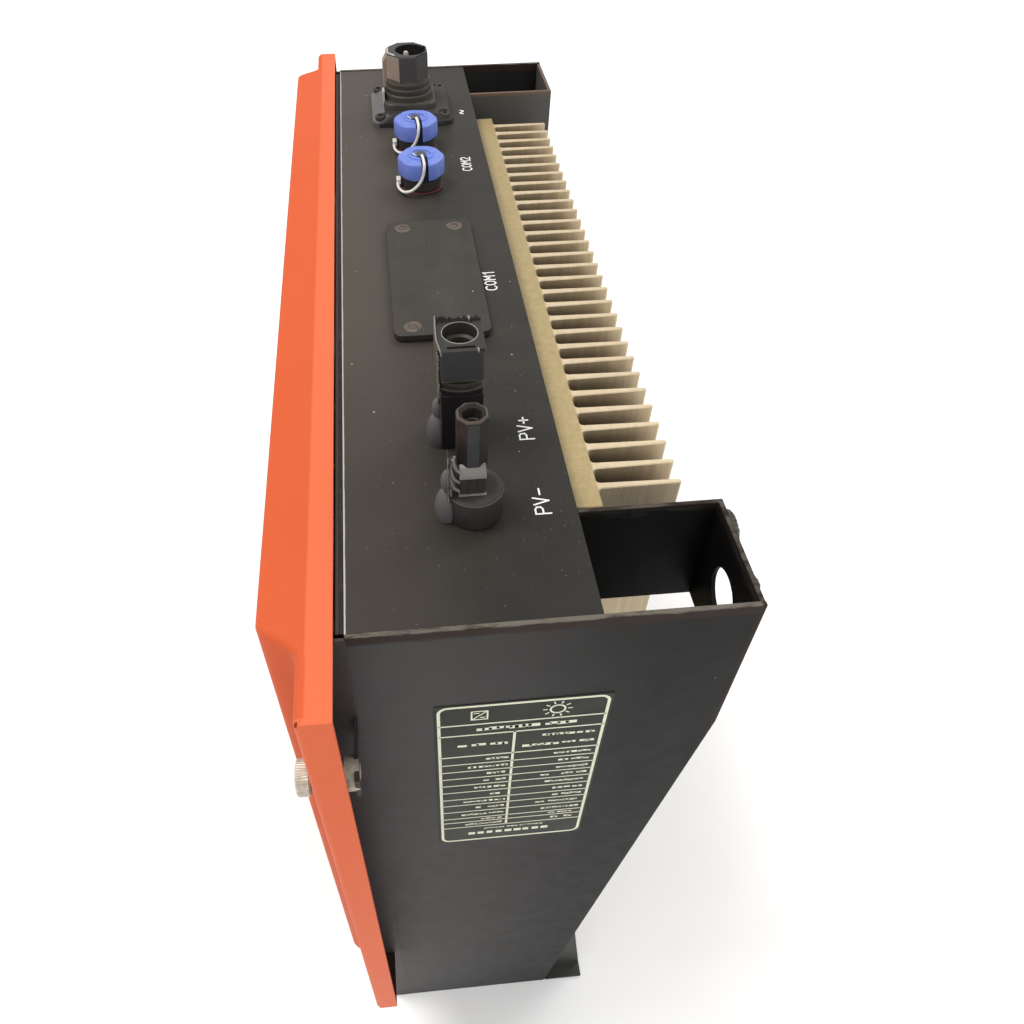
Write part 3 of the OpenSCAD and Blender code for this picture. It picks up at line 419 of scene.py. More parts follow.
M = {
    # Panel: a pale band on the front edge, partly wear and partly a painted highlight; a brown fade in from
    # the front edge, a painted sheen; darker towards +X.
    "panel": black_coat("panel_coat", (0.017, 0.0150, 0.0122), (0.026, 0.0230, 0.0185), 0.18,
                        [(1, FRONT_Y, 0.0012, (0.40, 0.40, 0.38), 0.34, ALONG_X)], 0.14,
                        [(1, FRONT_Y + 0.058, FRONT_Y + 0.008, (0.088, 0.071, 0.058), 0.62),
                         (0, 0.02, 0.23, (0.004, 0.003, 0.002), 0.5)]),
    # Side plates: the fade darkens them towards the back, a painted shade.
    "side": black_coat("side_coat", (0.053, 0.0495, 0.0480), (0.068, 0.0670, 0.0660), 0.15,
                       [(2, SIDE_TOP_Z, 0.008, WORN_BROWN, 0.3, ALONG_Y),
                        (2, SIDE_TOP_Z, 0.0026, WORN_GREY, 0.68, ALONG_Y),
                        (1, BACK_Y, 0.005, WORN_BROWN, 0.45, ALONG_Z)], 0.05,
                       [(1, FRONT_Y + 0.01, BACK_Y - 0.02, (0.006, 0.006, 0.006), 0.8)], 0.08),
    "case": black_coat("case_coat", CASE_DARK, CASE_LIGHT, 0.2, (), 0.05),
    "foot": black_coat("foot_coat", (0.034, 0.034, 0.031), (0.046, 0.046, 0.042), 0.2, (), 0.05),
    # Near corner channel: a much darker copy of the black coat, painted shade in its shaded inside.
    "channel": black_coat("channel_coat", (0.0035, 0.0033, 0.0036), (0.0075, 0.0068, 0.0062), 0.1,
                          [(2, PANEL_TOP_Z, 0.016, (0.030, 0.029, 0.024), 0.6, ALONG_Z),
                           (2, PANEL_TOP_Z, 0.0025, (0.020, 0.014, 0.011), 0.3, ALONG_Y),
                           (2, PANEL_TOP_Z, 0.0009, (0.075, 0.066, 0.055), 0.72, ALONG_Y)], 0.05, (), 0.08),
    # Far corner channel: a much lighter copy of the same coat, painted light on its lit inner wall.
    "far_channel": black_coat("far_channel_coat", (0.060, 0.058, 0.053), (0.115, 0.110, 0.100), 0.2,
                              [(2, PANEL_TOP_Z, 0.0035, (0.13, 0.088, 0.064), 0.3, ALONG_Y)], 0.05),
    # Lid: lighter and browner than the case coat, painted light in the shaded gap under the cover.
    "lid": black_coat("lid_coat", (0.034, 0.0235, 0.0225), (0.042, 0.030, 0.029), 0.1, (), 0.03),
    # Inside of the cover: near-black, painted shade in the gap under the cover.
    "inside": black_coat("cover_inside", (0.020, 0.013, 0.012), (0.028, 0.018, 0.016), 0.1, (), 0.03),
    "plate": black_coat("plate_coat", (0.024, 0.0212, 0.0170), (0.038, 0.0335, 0.027), 0.22, (), 0.16),
    "orange": orange_coat(),
    "anodised": anodised(),
    "nylon": moulded("black_nylon", (0.037, 0.0355, 0.0345), (0.090, 0.080, 0.070), 0.44, 0.08, 0.15),
    # Grey nylon: painted light, the sheen on the sockets' lobes and on the lit -Y faces of the grid socket's
    # flange.
    "nylon_grey": moulded("lit_grey_nylon", (0.105, 0.100, 0.102), (0.20, 0.195, 0.19), 0.42, 0.3, 0.25),
    "nylon_olive": moulded("olive_nylon", (0.052, 0.050, 0.041), (0.11, 0.105, 0.085), 0.45, 0.15, 0.2),
    "nylon_worn": moulded("worn_nylon", (0.075, 0.062, 0.048), (0.16, 0.135, 0.105), 0.45, 0.3, 0.2),
    "nylon_pale": moulded("pale_nylon", (0.46, 0.45, 0.42), (0.68, 0.67, 0.64), 0.45, 0.3, 0.25),
    "nylon_barrel": moulded("barrel_nylon", (0.060, 0.058, 0.056), (0.10, 0.096, 0.090), 0.45, 0.1, 0.12),
    "nylon_brown": moulded("brown_nylon", (0.020, 0.0155, 0.0142), (0.10, 0.078, 0.066), 0.45, 0.2, 0.12),
    # Slate nylon: painted light, a paler tone on the front facets of the PV sockets.
    "nylon_slate": moulded("slate_nylon", (0.043, 0.0435, 0.044), (0.085, 0.086, 0.087), 0.45, 0.25, 0.2),
    "nylon_deep": moulded("deep_nylon", (0.012, 0.0105, 0.011), (0.030, 0.024, 0.022), 0.5, 0.1, 0.15),
    # Pale nylon: painted light on the PV sockets' lit faces and edges.
    "nylon_lit": moulded("lit_pale_nylon", (0.20, 0.195, 0.18), (0.42, 0.41, 0.38), 0.45, 0.4, 0.25),
    # Tan nylon: painted light on the grid socket's lit -Y side.
    "nylon_tan": moulded("lit_tan_nylon", (0.24, 0.195, 0.158), (0.52, 0.47, 0.41), 0.45, 0.4, 0.2),
    "moulding": moulded("black_moulding", (0.014, 0.014, 0.015), (0.07, 0.07, 0.07), 0.45, 0.15),
    "blue": moulded("blue_plastic", (0.130, 0.192, 0.56), (0.27, 0.35, 0.72), 0.45, 0.35, 0.25),
    "rivet": moulded("rivet_plastic", (0.060, 0.060, 0.066), (0.20, 0.20, 0.21), 0.45, 0.3, 0.3),
    "white": moulded("white_nylon", (0.70, 0.69, 0.65), (0.50, 0.48, 0.43), 0.4, 0.15),
    "red": moulded("red_seal", (0.080, 0.024, 0.021), (0.13, 0.06, 0.05), 0.5, 0.2, 0.2),
    "rubber": moulded("seal_rubber", (0.018, 0.018, 0.018), (0.08, 0.075, 0.07), 0.75, 0.2, 0.2),
    "key": moulded("grey_key", (0.55, 0.55, 0.54), (0.4, 0.4, 0.39), 0.5, 0.15),
    "red_lead": moulded("red_lead", (0.30, 0.018, 0.016), (0.35, 0.08, 0.07), 0.4, 0.1),
    "grey_lead": moulded("grey_lead", (0.06, 0.06, 0.06), (0.14, 0.14, 0.14), 0.4, 0.1),
    "sleeve": moulded("capacitor_sleeve", (0.022, 0.03, 0.11), (0.08, 0.1, 0.2), 0.25, 0.1),
    "zinc": metal("zinc_steel", (0.50, 0.49, 0.46), (0.24, 0.21, 0.17), 0.42),
    "bolt": metal("weathered_bolt", (0.075, 0.075, 0.062), (0.030, 0.026, 0.020), 0.55, 0.3),
    "screw": metal("dull_screws", (0.16, 0.13, 0.105), (0.05, 0.033, 0.024), 0.42, 0.6),
    "dark_screw": metal("blackened_screws", (0.040, 0.038, 0.033), (0.022, 0.020, 0.017), 0.55, 0.2),
    # Cap groove: near-black blue, painted shade in the slots beside the tether.
    "groove": moulded("cap_groove", (0.012, 0.014, 0.030), (0.03, 0.035, 0.07), 0.6, 0.1, 0.1),
    "knob": metal("nickel_knob", (0.60, 0.58, 0.50), (0.38, 0.34, 0.27), 0.36, 0.3),
    "lug": metal("bare_brass", (0.60, 0.52, 0.41), (0.26, 0.20, 0.14), 0.5, 0.1),
    "brass": metal("brass_contact", (0.72, 0.55, 0.25), (0.40, 0.28, 0.12), 0.25),
    "tin": metal("tinned_contact", (0.55, 0.53, 0.5), (0.3, 0.27, 0.23), 0.3),
    "film": label_film(),
    "cream_ink": ink("cream_ink", (0.72, 0.73, 0.56)),
    "white_ink": ink("white_ink", (0.80, 0.80, 0.78)),
    "green_board": circuit_board("green_board", (0.018, 0.13, 0.055), (0.05, 0.25, 0.11)),
    "blue_board": circuit_board("blue_board", (0.015, 0.06, 0.2), (0.05, 0.13, 0.35)),
    "winding": winding(),
    "window": clear("clear_window", (0.80, 0.84, 0.82), 0.05),
    "pipe": clear("clear_pipe", (0.85, 0.90, 0.85), 0.3),
}

SLOT_MATERIAL = {
    "black_powder_coat": "case", "orange_powder_coat": "orange", "seal_rubber": "rubber",
    "zinc_steel": "zinc", "dull_screws": "screw", "bare_brass": "lug", "nickel_knob": "knob",
    "white_nylon": "white", "champagne_anodised": "anodised", "label_film": "film",
    "black_nylon": "nylon", "tinned_contact": "tin", "brass_contact": "brass", "red_seal": "red",
    "blue_plastic": "blue", "green_board": "green_board", "blue_board": "blue_board",
    "capacitor_sleeve": "sleeve", "copper_winding": "winding", "black_moulding": "moulding",
    "red_lead": "red_lead", "grey_lead": "grey_lead", "clear_window": "window",
    "clear_pipe": "pipe", "grey_key": "key",
}
NODE_SLOT = {row["node"]: row["material_slot"] for row in frame["record"]["subparts"]}
NODE_BODY = {n: b for b, ns in frame["record"]["behaviour"]["bodies"].items() for n in ns}


# ---------------------------------------------------------------- mesh building


CENTRE = (0, 0, 0)


class Shape:
    """Points and faces gathered into one piece, in millimetres round (x, y) on the connector panel."""

    def __init__(self, x=0.0, y=0.0):
        self.place = (x, y)
        self.verts = []
        self.faces = []

    def add(self, verts, faces):
        base = len(self.verts)
        self.verts += [tuple(v) for v in verts]
        self.faces += [tuple(i + base for i in f) for f in faces]
        return self

    def lathe(self, centre, profile, segments=64, axis="z", radius=None, start=0.0, loop=False):
        """Turns (r, h) points round an axis through centre. radius(angle, h) scales r. A loop is a ring."""
        cx, cy, cz = centre
        verts = []
        for r, h in profile:
            for k in range(segments):
                a = start + 2 * math.pi * k / segments
                rr = r * (radius(a, h) if radius else 1)
                if axis == "z":
                    verts.append((cx + rr * math.cos(a), cy + rr * math.sin(a), cz + h))
                elif axis == "y":
                    verts.append((cx + rr * math.cos(a), cy + h, cz - rr * math.sin(a)))
                else:
                    verts.append((cx + h, cy + rr * math.cos(a), cz + rr * math.sin(a)))
        faces = []
        for i in range(len(profile) - (0 if loop else 1)):
            j = (i + 1) % len(profile)
            for k in range(segments):
                n = (k + 1) % segments
                faces.append((i * segments + k, i * segments + n, j * segments + n, j * segments + k))
        if profile[0][0] > 1e-6 and not loop:
            faces.append(tuple(range(segments))[::-1])
        if profile[-1][0] > 1e-6 and not loop:
            faces.append(tuple((len(profile) - 1) * segments + k for k in range(segments)))
        return self.add(verts, faces)

    def rings(self, rings):
        """Joins rings of the same number of points into a closed skin."""
        n = len(rings[0])
        faces = []
        for i in range(len(rings) - 1):
            for k in range(n):
                m = (k + 1) % n
                faces.append((i * n + k, i * n + m, (i + 1) * n + m, (i + 1) * n + k))
        faces += [tuple(range(n))[::-1], tuple((len(rings) - 1) * n + k for k in range(n))]
        return self.add([p for r in rings for p in r], faces)

    def loft(self, sections):
        """Joins (z, outline) sections, each outline a list of (x, y) points."""
        return self.rings([[(x, y, z) for x, y in outline] for z, outline in sections])

    def prism(self, outline, z0, z1):
        """An outline of (x, y) points raised from z0 to z1."""
        return self.loft([(z0, outline), (z1, outline)])

    def block(self, lo, hi):
        outline = [(lo[0], lo[1]), (hi[0], lo[1]), (hi[0], hi[1]), (lo[0], hi[1])]
        return self.prism(outline, lo[2], hi[2])

    def tube(self, path, r, sides=10):
        """A round tube along panel-frame points."""
        points = [Vector(p) for p in path]
        rings = []
        side = None
        for i, p in enumerate(points):
            d = (points[min(i + 1, len(points) - 1)] - points[max(i - 1, 0)]).normalized()
            if side is None:
                side = d.cross(Vector((0, 0, 1)) if abs(d.z) < 0.9 else Vector((1, 0, 0))).normalized()
            side = (side - d * side.dot(d)).normalized()
            other = d.cross(side)
            rings.append([tuple(p + (side * math.cos(a) + other * math.sin(a)) * r)
                          for a in (2 * math.pi * k / sides for k in range(sides))])
        return self.rings(rings)

    def build(self, name):
        """The shape as an object in the row frame."""
        x, y = self.place
        mesh = bpy.data.meshes.new(name)
        mesh.from_pydata([at(x + v[0], y + v[1], v[2]) for v in self.verts], [], self.faces)
        mesh.update()
        clean_mesh(mesh, 1e-7)
        obj = bpy.data.objects.new(name, mesh)
        bpy.context.scene.collection.objects.link(obj)
        return obj

    def piece(self, name, material, body, slot=None, replaces=(), bevel=0.0, segments=2, angle=35,
              smooth=True, cut=()):
        """Makes the object, cuts it, bevels it and lets it ride its body."""
        obj = self.build(name)
        for cutter in cut:
            carve(obj, cutter)
        finish_piece(obj, material, body, slot, replaces, bevel, segments, angle, smooth)
        return obj

    def nylon(self, name, material, bevel=0.0, segments=2, angle=35, replaces=(), cut=()):
        """A piece of a socket's black nylon moulding."""
        return self.piece(name, material, "root", "black_nylon", replaces, bevel, segments, angle, cut=cut)


def clean_mesh(mesh, distance, flatten=False):
    """Merges doubled points, joins flat faces if asked and turns every face outwards."""
    bm = bmesh.new()
    bm.from_mesh(mesh)
    bmesh.ops.remove_doubles(bm, verts=bm.verts, dist=distance)
    if flatten:
        bmesh.ops.dissolve_limit(bm, angle_limit=math.radians(1), verts=bm.verts, edges=bm.edges)
    bmesh.ops.recalc_face_normals(bm, faces=bm.faces)
    bm.to_mesh(mesh)
    bm.free()


def finish_piece(obj, material, body, slot, replaces, bevel, segments=2, angle=35, smooth=True):
    obj.data.materials.clear()
    obj.data.materials.append(M[material])
    if smooth:
        obj.data.shade_smooth()
        obj.data.set_sharp_from_angle(angle=math.radians(angle))
    if bevel > 0:
        modifier = obj.modifiers.new("edges", "BEVEL")
        modifier.width = bevel * MM
        modifier.segments = segments
        modifier.limit_method = "ANGLE"
        modifier.angle_limit = math.radians(angle)
        modifier.harden_normals = True
    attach(obj, body)
    if replaces:
        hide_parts(*replaces)


def carve(obj, cutter):
    """Takes a Shape's solid away from an object's mesh."""
    tool = cutter.build("cutter")
    modifier = obj.modifiers.new("carve", "BOOLEAN")
    modifier.object = tool
    modifier.operation = "DIFFERENCE"
    modifier.solver = "EXACT"
    bake_modifiers(obj)
    mesh = tool.data
    bpy.data.objects.remove(tool)
    bpy.data.meshes.remove(mesh)


def bake_modifiers(obj):
    """Writes the modifiers' result into the mesh."""
    graph = bpy.context.evaluated_depsgraph_get()
    result = bpy.data.meshes.new_from_object(obj.evaluated_get(graph))
    obj.modifiers.clear()
    old = obj.data
    obj.data = result
    bpy.data.meshes.remove(old)


def refined(node, bevel, material=None, segments=2):
    """A bevelled copy of a CAD node's own shape, standing for that node."""
    obj = bpy.data.objects.new(node + "_finished", frame["nodes"][node].data.copy())
    bpy.context.scene.collection.objects.link(obj)
    clean_mesh(obj.data, 1e-6, flatten=True)
    slot = NODE_SLOT[node]
    finish_piece(obj, material or SLOT_MATERIAL[slot], NODE_BODY[node], slot, [node], bevel, segments)
    return obj


def second_material(obj, material, chosen):
    """Gives the faces that chosen(face) picks another material."""
    obj.data.materials.append(M[material])
    for face in obj.data.polygons:
        if chosen(face):
            face.material_index = 1


def arc(cx, cy, r, a0, a1, steps):
    """Points on an arc, angles in degrees."""
    return [(cx + r * math.cos(math.radians(a0 + (a1 - a0) * i / steps)),
             cy + r * math.sin(math.radians(a0 + (a1 - a0) * i / steps))) for i in range(steps + 1)]


def rounded_rectangle(cx, cy, w, d, r, steps=6):
    x, y = w / 2 - r, d / 2 - r
    return (arc(cx + x, cy + y, r, 0, 90, steps) + arc(cx - x, cy + y, r, 90, 180, steps)
            + arc(cx - x, cy - y, r, 180, 270, steps) + arc(cx + x, cy - y, r, 270, 360, steps))


# ---------------------------------------------------------------- front cover

COVER_LO, COVER_HI = panel_box("front_cover")
COVER_GAP = -COVER_HI.y
COVER_FRONT = -COVER_LO.y
COVER_HALF_W = COVER_HI.x
FIELD_HALF_W = 213.7
SHOULDER_W = 13.9
RIM_FRONT = 14.6
COVER_SHEET = 1.5
COVER_FOLD_R = 2.6
SIDE_FOLD_R = 0.45
SHOULDER_STEPS = 20
FOLD_STEPS = 5
KEY_HOLE_R = 5.2
PIPE_HOLE_R = 2.5
PIPE_PITCH = 10
THUMB_HOLE_R = 3.5
RELIEF_HOLE_R = 0.7
HOOK_X = 150
HOOK_SLOT_HALF_W = 12


def cover_section(inset, back):
    """Section of the cover pulled in by inset, from the right back edge round the front to the left."""
    half = [(FIELD_HALF_W * i / 3, -COVER_FRONT + inset) for i in range(3)]
    for i in range(SHOULDER_STEPS + 1):
        t = i / SHOULDER_STEPS
        rise = (1 - math.cos(math.pi * t)) / 2
        half.append((FIELD_HALF_W + SHOULDER_W * t - inset * 0.5 * math.sin(math.pi * t),
                     -COVER_FRONT + inset + (COVER_FRONT - RIM_FRONT) * rise))
    r = COVER_FOLD_R
    for i in range(FOLD_STEPS + 1):
        a = math.pi / 2 * i / FOLD_STEPS
        reach = max(r - inset, 0.2)
        half.append((COVER_HALF_W - inset - reach + reach * math.sin(a),
                     -RIM_FRONT + inset + reach - reach * math.cos(a)))
    half.append((COVER_HALF_W - inset, back))
    left = [(-x, y) for x, y in half[1:]]
    return half[::-1] + left


def cover_skin(inset, end_inset, back, fold, seam):
    """Rings of the cover's skin. Its ends fold over: wide along the front, tight along the side walls."""
    z0, z1 = COVER_LO.z + end_inset, COVER_HI.z - end_inset
    rings = []
    for end, sign in ((z0, 1), (z1, -1)):
        turn = []
        for i in range(FOLD_STEPS + 1):
            a = math.pi / 2 * i / FOLD_STEPS
            wide = cover_section(inset + fold * (1 - math.sin(a)), back)
            tight = cover_section(inset + seam * (1 - math.sin(a)), back)
            points = []
            for k, (p, q) in enumerate(zip(wide, tight)):
                from_side = min(k, len(wide) - 1 - k) - 1
                share = min(max(from_side / FOLD_STEPS, 0), 1)
                reach = seam + (fold - seam) * share
                points.append((q[0] + (p[0] - q[0]) * share, q[1] + (p[1] - q[1]) * share,
                               end + sign * reach * (1 - math.cos(a))))
            turn.append(points)
        rings += turn if sign > 0 else turn[::-1]
    return rings


def cylinder_along(axis, centre, r, h0, h1, segments=32):
    """A plain solid for cutting, along one axis."""
    return Shape().lathe(centre, [(r, h0), (r, h1)], segments, axis)


def front_cover():
    outer = cover_skin(0, 0, -COVER_GAP, COVER_FOLD_R, SIDE_FOLD_R)
    inner = cover_skin(COVER_SHEET, COVER_SHEET, -COVER_GAP, 1.2, 0.4)
    n = len(outer[0])
    shape = Shape()
    # Both skins are open along the back edge: the first and last point of every ring.
    for rings, flip in ((outer, False), (inner, True)):
        faces = []
        for i in range(len(rings) - 1):
            for k in range(n - 1):
                f = (i * n + k, i * n + k + 1, (i + 1) * n + k + 1, (i + 1) * n + k)
                faces.append(f[::-1] if flip else f)
        first, last = tuple(range(n)), tuple((len(rings) - 1) * n + k for k in range(n))
        faces += [first[::-1], last] if flip else [first, last[::-1]]
        shape.add([p for r in rings for p in r], faces)
    size = n * len(outer)
    rim_out = [i * n for i in range(len(outer))] + [i * n + n - 1 for i in reversed(range(len(outer)))]
    rim_in = [size + i for i in rim_out]
    for i in range(len(rim_out)):
        j = (i + 1) % len(rim_out)
        shape.faces.append((rim_out[i], rim_out[j], rim_in[j], rim_in[i]))
    window = middle("display_window")
    half = (panel_box("display_window")[1] - panel_box("display_window")[0]) / 2
    corners = rounded_rectangle(window.x, window.z, 2 * half.x + 0.5, 2 * half.z + 0.5, 2.0)
    cut = [Shape().rings([[(x, -COVER_FRONT + depth, z) for x, z in corners] for depth in (-2, 3)])]
    key, pipes = middle("display_key"), middle("light_pipes")
    cut.append(cylinder_along("y", (key.x, -COVER_FRONT, key.z), KEY_HOLE_R, -2, 3))
    for i in (-1, 0, 1):
        cut.append(cylinder_along("y", (pipes.x, -COVER_FRONT, pipes.z + i * PIPE_PITCH), PIPE_HOLE_R, -2, 3))
    for side, sign in (("right", 1), ("left", -1)):
        knob = middle("thumb_screw_" + side)
        cut.append(cylinder_along("y", (knob.x, -RIM_FRONT, knob.z), THUMB_HOLE_R, -2, 3))
        cut.append(Shape().block((sign * HOOK_X - HOOK_SLOT_HALF_W, -10.5, COVER_LO.z - 1),
                                 (sign * HOOK_X + HOOK_SLOT_HALF_W, -COVER_GAP + 1, COVER_LO.z + 2.6)))
        # Relief hole where the folded end meets the side wall.
        for end in (COVER_HI.z, COVER_LO.z):
            place = (sign * (COVER_HALF_W - 1.0), -RIM_FRONT + 1.1, end)
            cut.append(cylinder_along("z", place, RELIEF_HOLE_R, -2.6, 2.6, 20))
    shell = shape.piece("cover_shell", "orange", "cover", "orange_powder_coat", ["front_cover"], 0.3,
                        angle=40, cut=cut)
    heart = at(0, 40, (COVER_LO.z + COVER_HI.z) / 2)
    rim_y = at(0, -COVER_GAP - 0.2, 0).y
    # The inner skin takes the near-black inside coat: painted shade in the gap.
    second_material(shell, "inside",
                    lambda face: face.center.y <= rim_y and face.normal.dot(face.center - heart) < 0)


# ---------------------------------------------------------------- heatsink


def heatsink():
    lo, hi = panel_box("heatsink")
    fins, tip, root_r, corner_r, span = 30, 2.2, 3.6, 1.6, 311
    half = (hi.x - lo.x) / 2
    root_y = lo.y + SINK_BASE
    pitch = span / (fins - 1)
    outline = [(half, lo.y), (half, root_y - 0.6), (half - 0.6, root_y)]
    for i in reversed(range(fins)):
        x = -span / 2 + i * pitch
        round_r = tip * 0.42
        right = x + tip / 2
        left = x - tip / 2
        root_right = x + pitch / 2 - root_r
        if i == fins - 1:
            outline.append((right + 1.2, root_y))
            outline.append((right + 0.3, root_y + 1.2))
        outline += [(right + (root_right - right) * 0.02, hi.y - round_r)]
        outline += arc(right - round_r, hi.y - round_r, round_r, 0, 90, 3)
        outline += arc(left + round_r, hi.y - round_r, round_r, 90, 180, 3)
        if i > 0:
            flat = root_r - corner_r
            outline += arc(x - pitch / 2 + flat, root_y + corner_r, corner_r, 0, -90, 4)
            outline += arc(x - pitch / 2 - flat, root_y + corner_r, corner_r, -90, -180, 4)
        else:
            outline += [(left - 0.3, root_y + 1.2), (left - 1.2, root_y)]
    outline += [(-half + 0.6, root_y), (-half, root_y - 0.6), (-half, lo.y)]
    ease = 0.35
    eased = shrink(outline, ease)
    block = Shape().loft([(lo.z, eased), (lo.z + ease, outline), (hi.z - ease, outline), (hi.z, eased)])
    block.piece("finned_heatsink", "anodised", "root", "champagne_anodised", ["heatsink"], angle=40)


def shrink(outline, amount):
    """Moves every point of a closed outline inwards along its corner's bisector."""
    out = []
    n = len(outline)
    area = sum(a[0] * b[1] - b[0] * a[1] for a, b in zip(outline, outline[1:] + outline[:1]))
    turn = 1 if area > 0 else -1
    for i in range(n):
        p, q, r = Vector(outline[i - 1]), Vector(outline[i]), Vector(outline[(i + 1) % n])
        a, b = (q - p), (r - q)
        if a.length < 1e-9 or b.length < 1e-9:
            out.append(tuple(q))
            continue
        a.normalize()
        b.normalize()
        na, nb = Vector((-a.y, a.x)) * turn, Vector((-b.y, b.x)) * turn
        m = na + nb
        if m.length < 1e-6:
            out.append(tuple(q))
            continue
        m.normalize()
        out.append(tuple(q + m * min(amount / max(m.dot(na), 0.5), amount * 1.5)))
    return out


# ---------------------------------------------------------------- label and printed marks


def strip(shape, a, b, width, plane, lift):
    """A flat printed stroke between two points of a plane. plane maps (u, v, lift) to the panel frame."""
    a, b = Vector(a), Vector(b)
    d = (b - a).normalized()
    n = Vector((-d.y, d.x)) * width / 2
    e = d * width / 2
    corners = [a - e - n, b + e - n, b + e + n, a - e + n]
    top = [plane(p.x, p.y, lift) for p in corners]
    low = [plane(p.x, p.y, lift - 0.04) for p in corners]
    shape.add(low + top, [(3, 2, 1, 0), (4, 5, 6, 7), (0, 1, 5, 4), (1, 2, 6, 5), (2, 3, 7, 6), (3, 0, 4, 7)])


def path(shape, points, width, plane, lift, closed=False):
    pairs = list(zip(points, points[1:]))
    if closed:
        pairs.append((points[-1], points[0]))
    for i, (a, b) in enumerate(pairs):
        strip(shape, a, b, width, plane, lift + 0.004 * i)


GLYPHS = {
    "P": [[(0, 0), (0, 1), (0.42, 1), (0.6, 0.88), (0.6, 0.62), (0.42, 0.5), (0, 0.5)]],
    "V": [[(0, 1), (0.31, 0), (0.62, 1)]],
    "C": [[(0.6, 0.85), (0.4, 1), (0.15, 0.92), (0, 0.65), (0, 0.35), (0.15, 0.08), (0.4, 0), (0.6, 0.15)]],
    "O": [[(0.3, 1), (0.08, 0.85), (0, 0.5), (0.08, 0.15), (0.3, 0), (0.52, 0.15), (0.6, 0.5),
           (0.52, 0.85), (0.3, 1)]],
    "M": [[(0, 0), (0, 1), (0.3, 0.45), (0.6, 1), (0.6, 0)]],
    "1": [[(0.12, 0.78), (0.34, 1), (0.34, 0)]],
    "2": [[(0.02, 0.8), (0.16, 0.97), (0.4, 1), (0.56, 0.85), (0.54, 0.6), (0, 0), (0.6, 0)]],
    "+": [[(0.05, 0.5), (0.65, 0.5)], [(0.35, 0.2), (0.35, 0.8)]],
    "-": [[(0.08, 0.5), (0.6, 0.5)]],
    "~": [[(0, 0.42), (0.1, 0.6), (0.22, 0.6), (0.42, 0.38), (0.54, 0.38), (0.64, 0.56)]],
}
STROKE = 0.125


def panel_marks():
    """Generic port marks beside the sockets. They read along -X, with their tops towards -Y."""
    shape = Shape()
    row = 68.2
    marks = (("PV-", middle("pv_minus_socket").x - 2, row, 5.2),
             ("PV+", middle("pv_plus_socket").x, row, 5.2),
             ("COM1", middle("service_plate").x + 3, row - 1, 5.0),
             ("COM2", (middle("data_cap_1").x + middle("data_cap_2").x) / 2, row, 5.0),
             ("~", middle("ac_socket").x + 6, row + 4, 7.5))
    for word, x, y, size in marks:
        advance = 0.84 * size
        start = x + advance * len(word) / 2
        for i, letter in enumerate(word):
            left = start - i * advance
            for stroke in GLYPHS[letter]:
                points = [(left - u * size, y + size / 2 - v * size) for u, v in stroke]
                path(shape, points, STROKE * size, lambda u, v, h: (u, v, h), 0.05)
    shape.piece("port_marks", "white_ink", "root", None, (), 0, smooth=False)


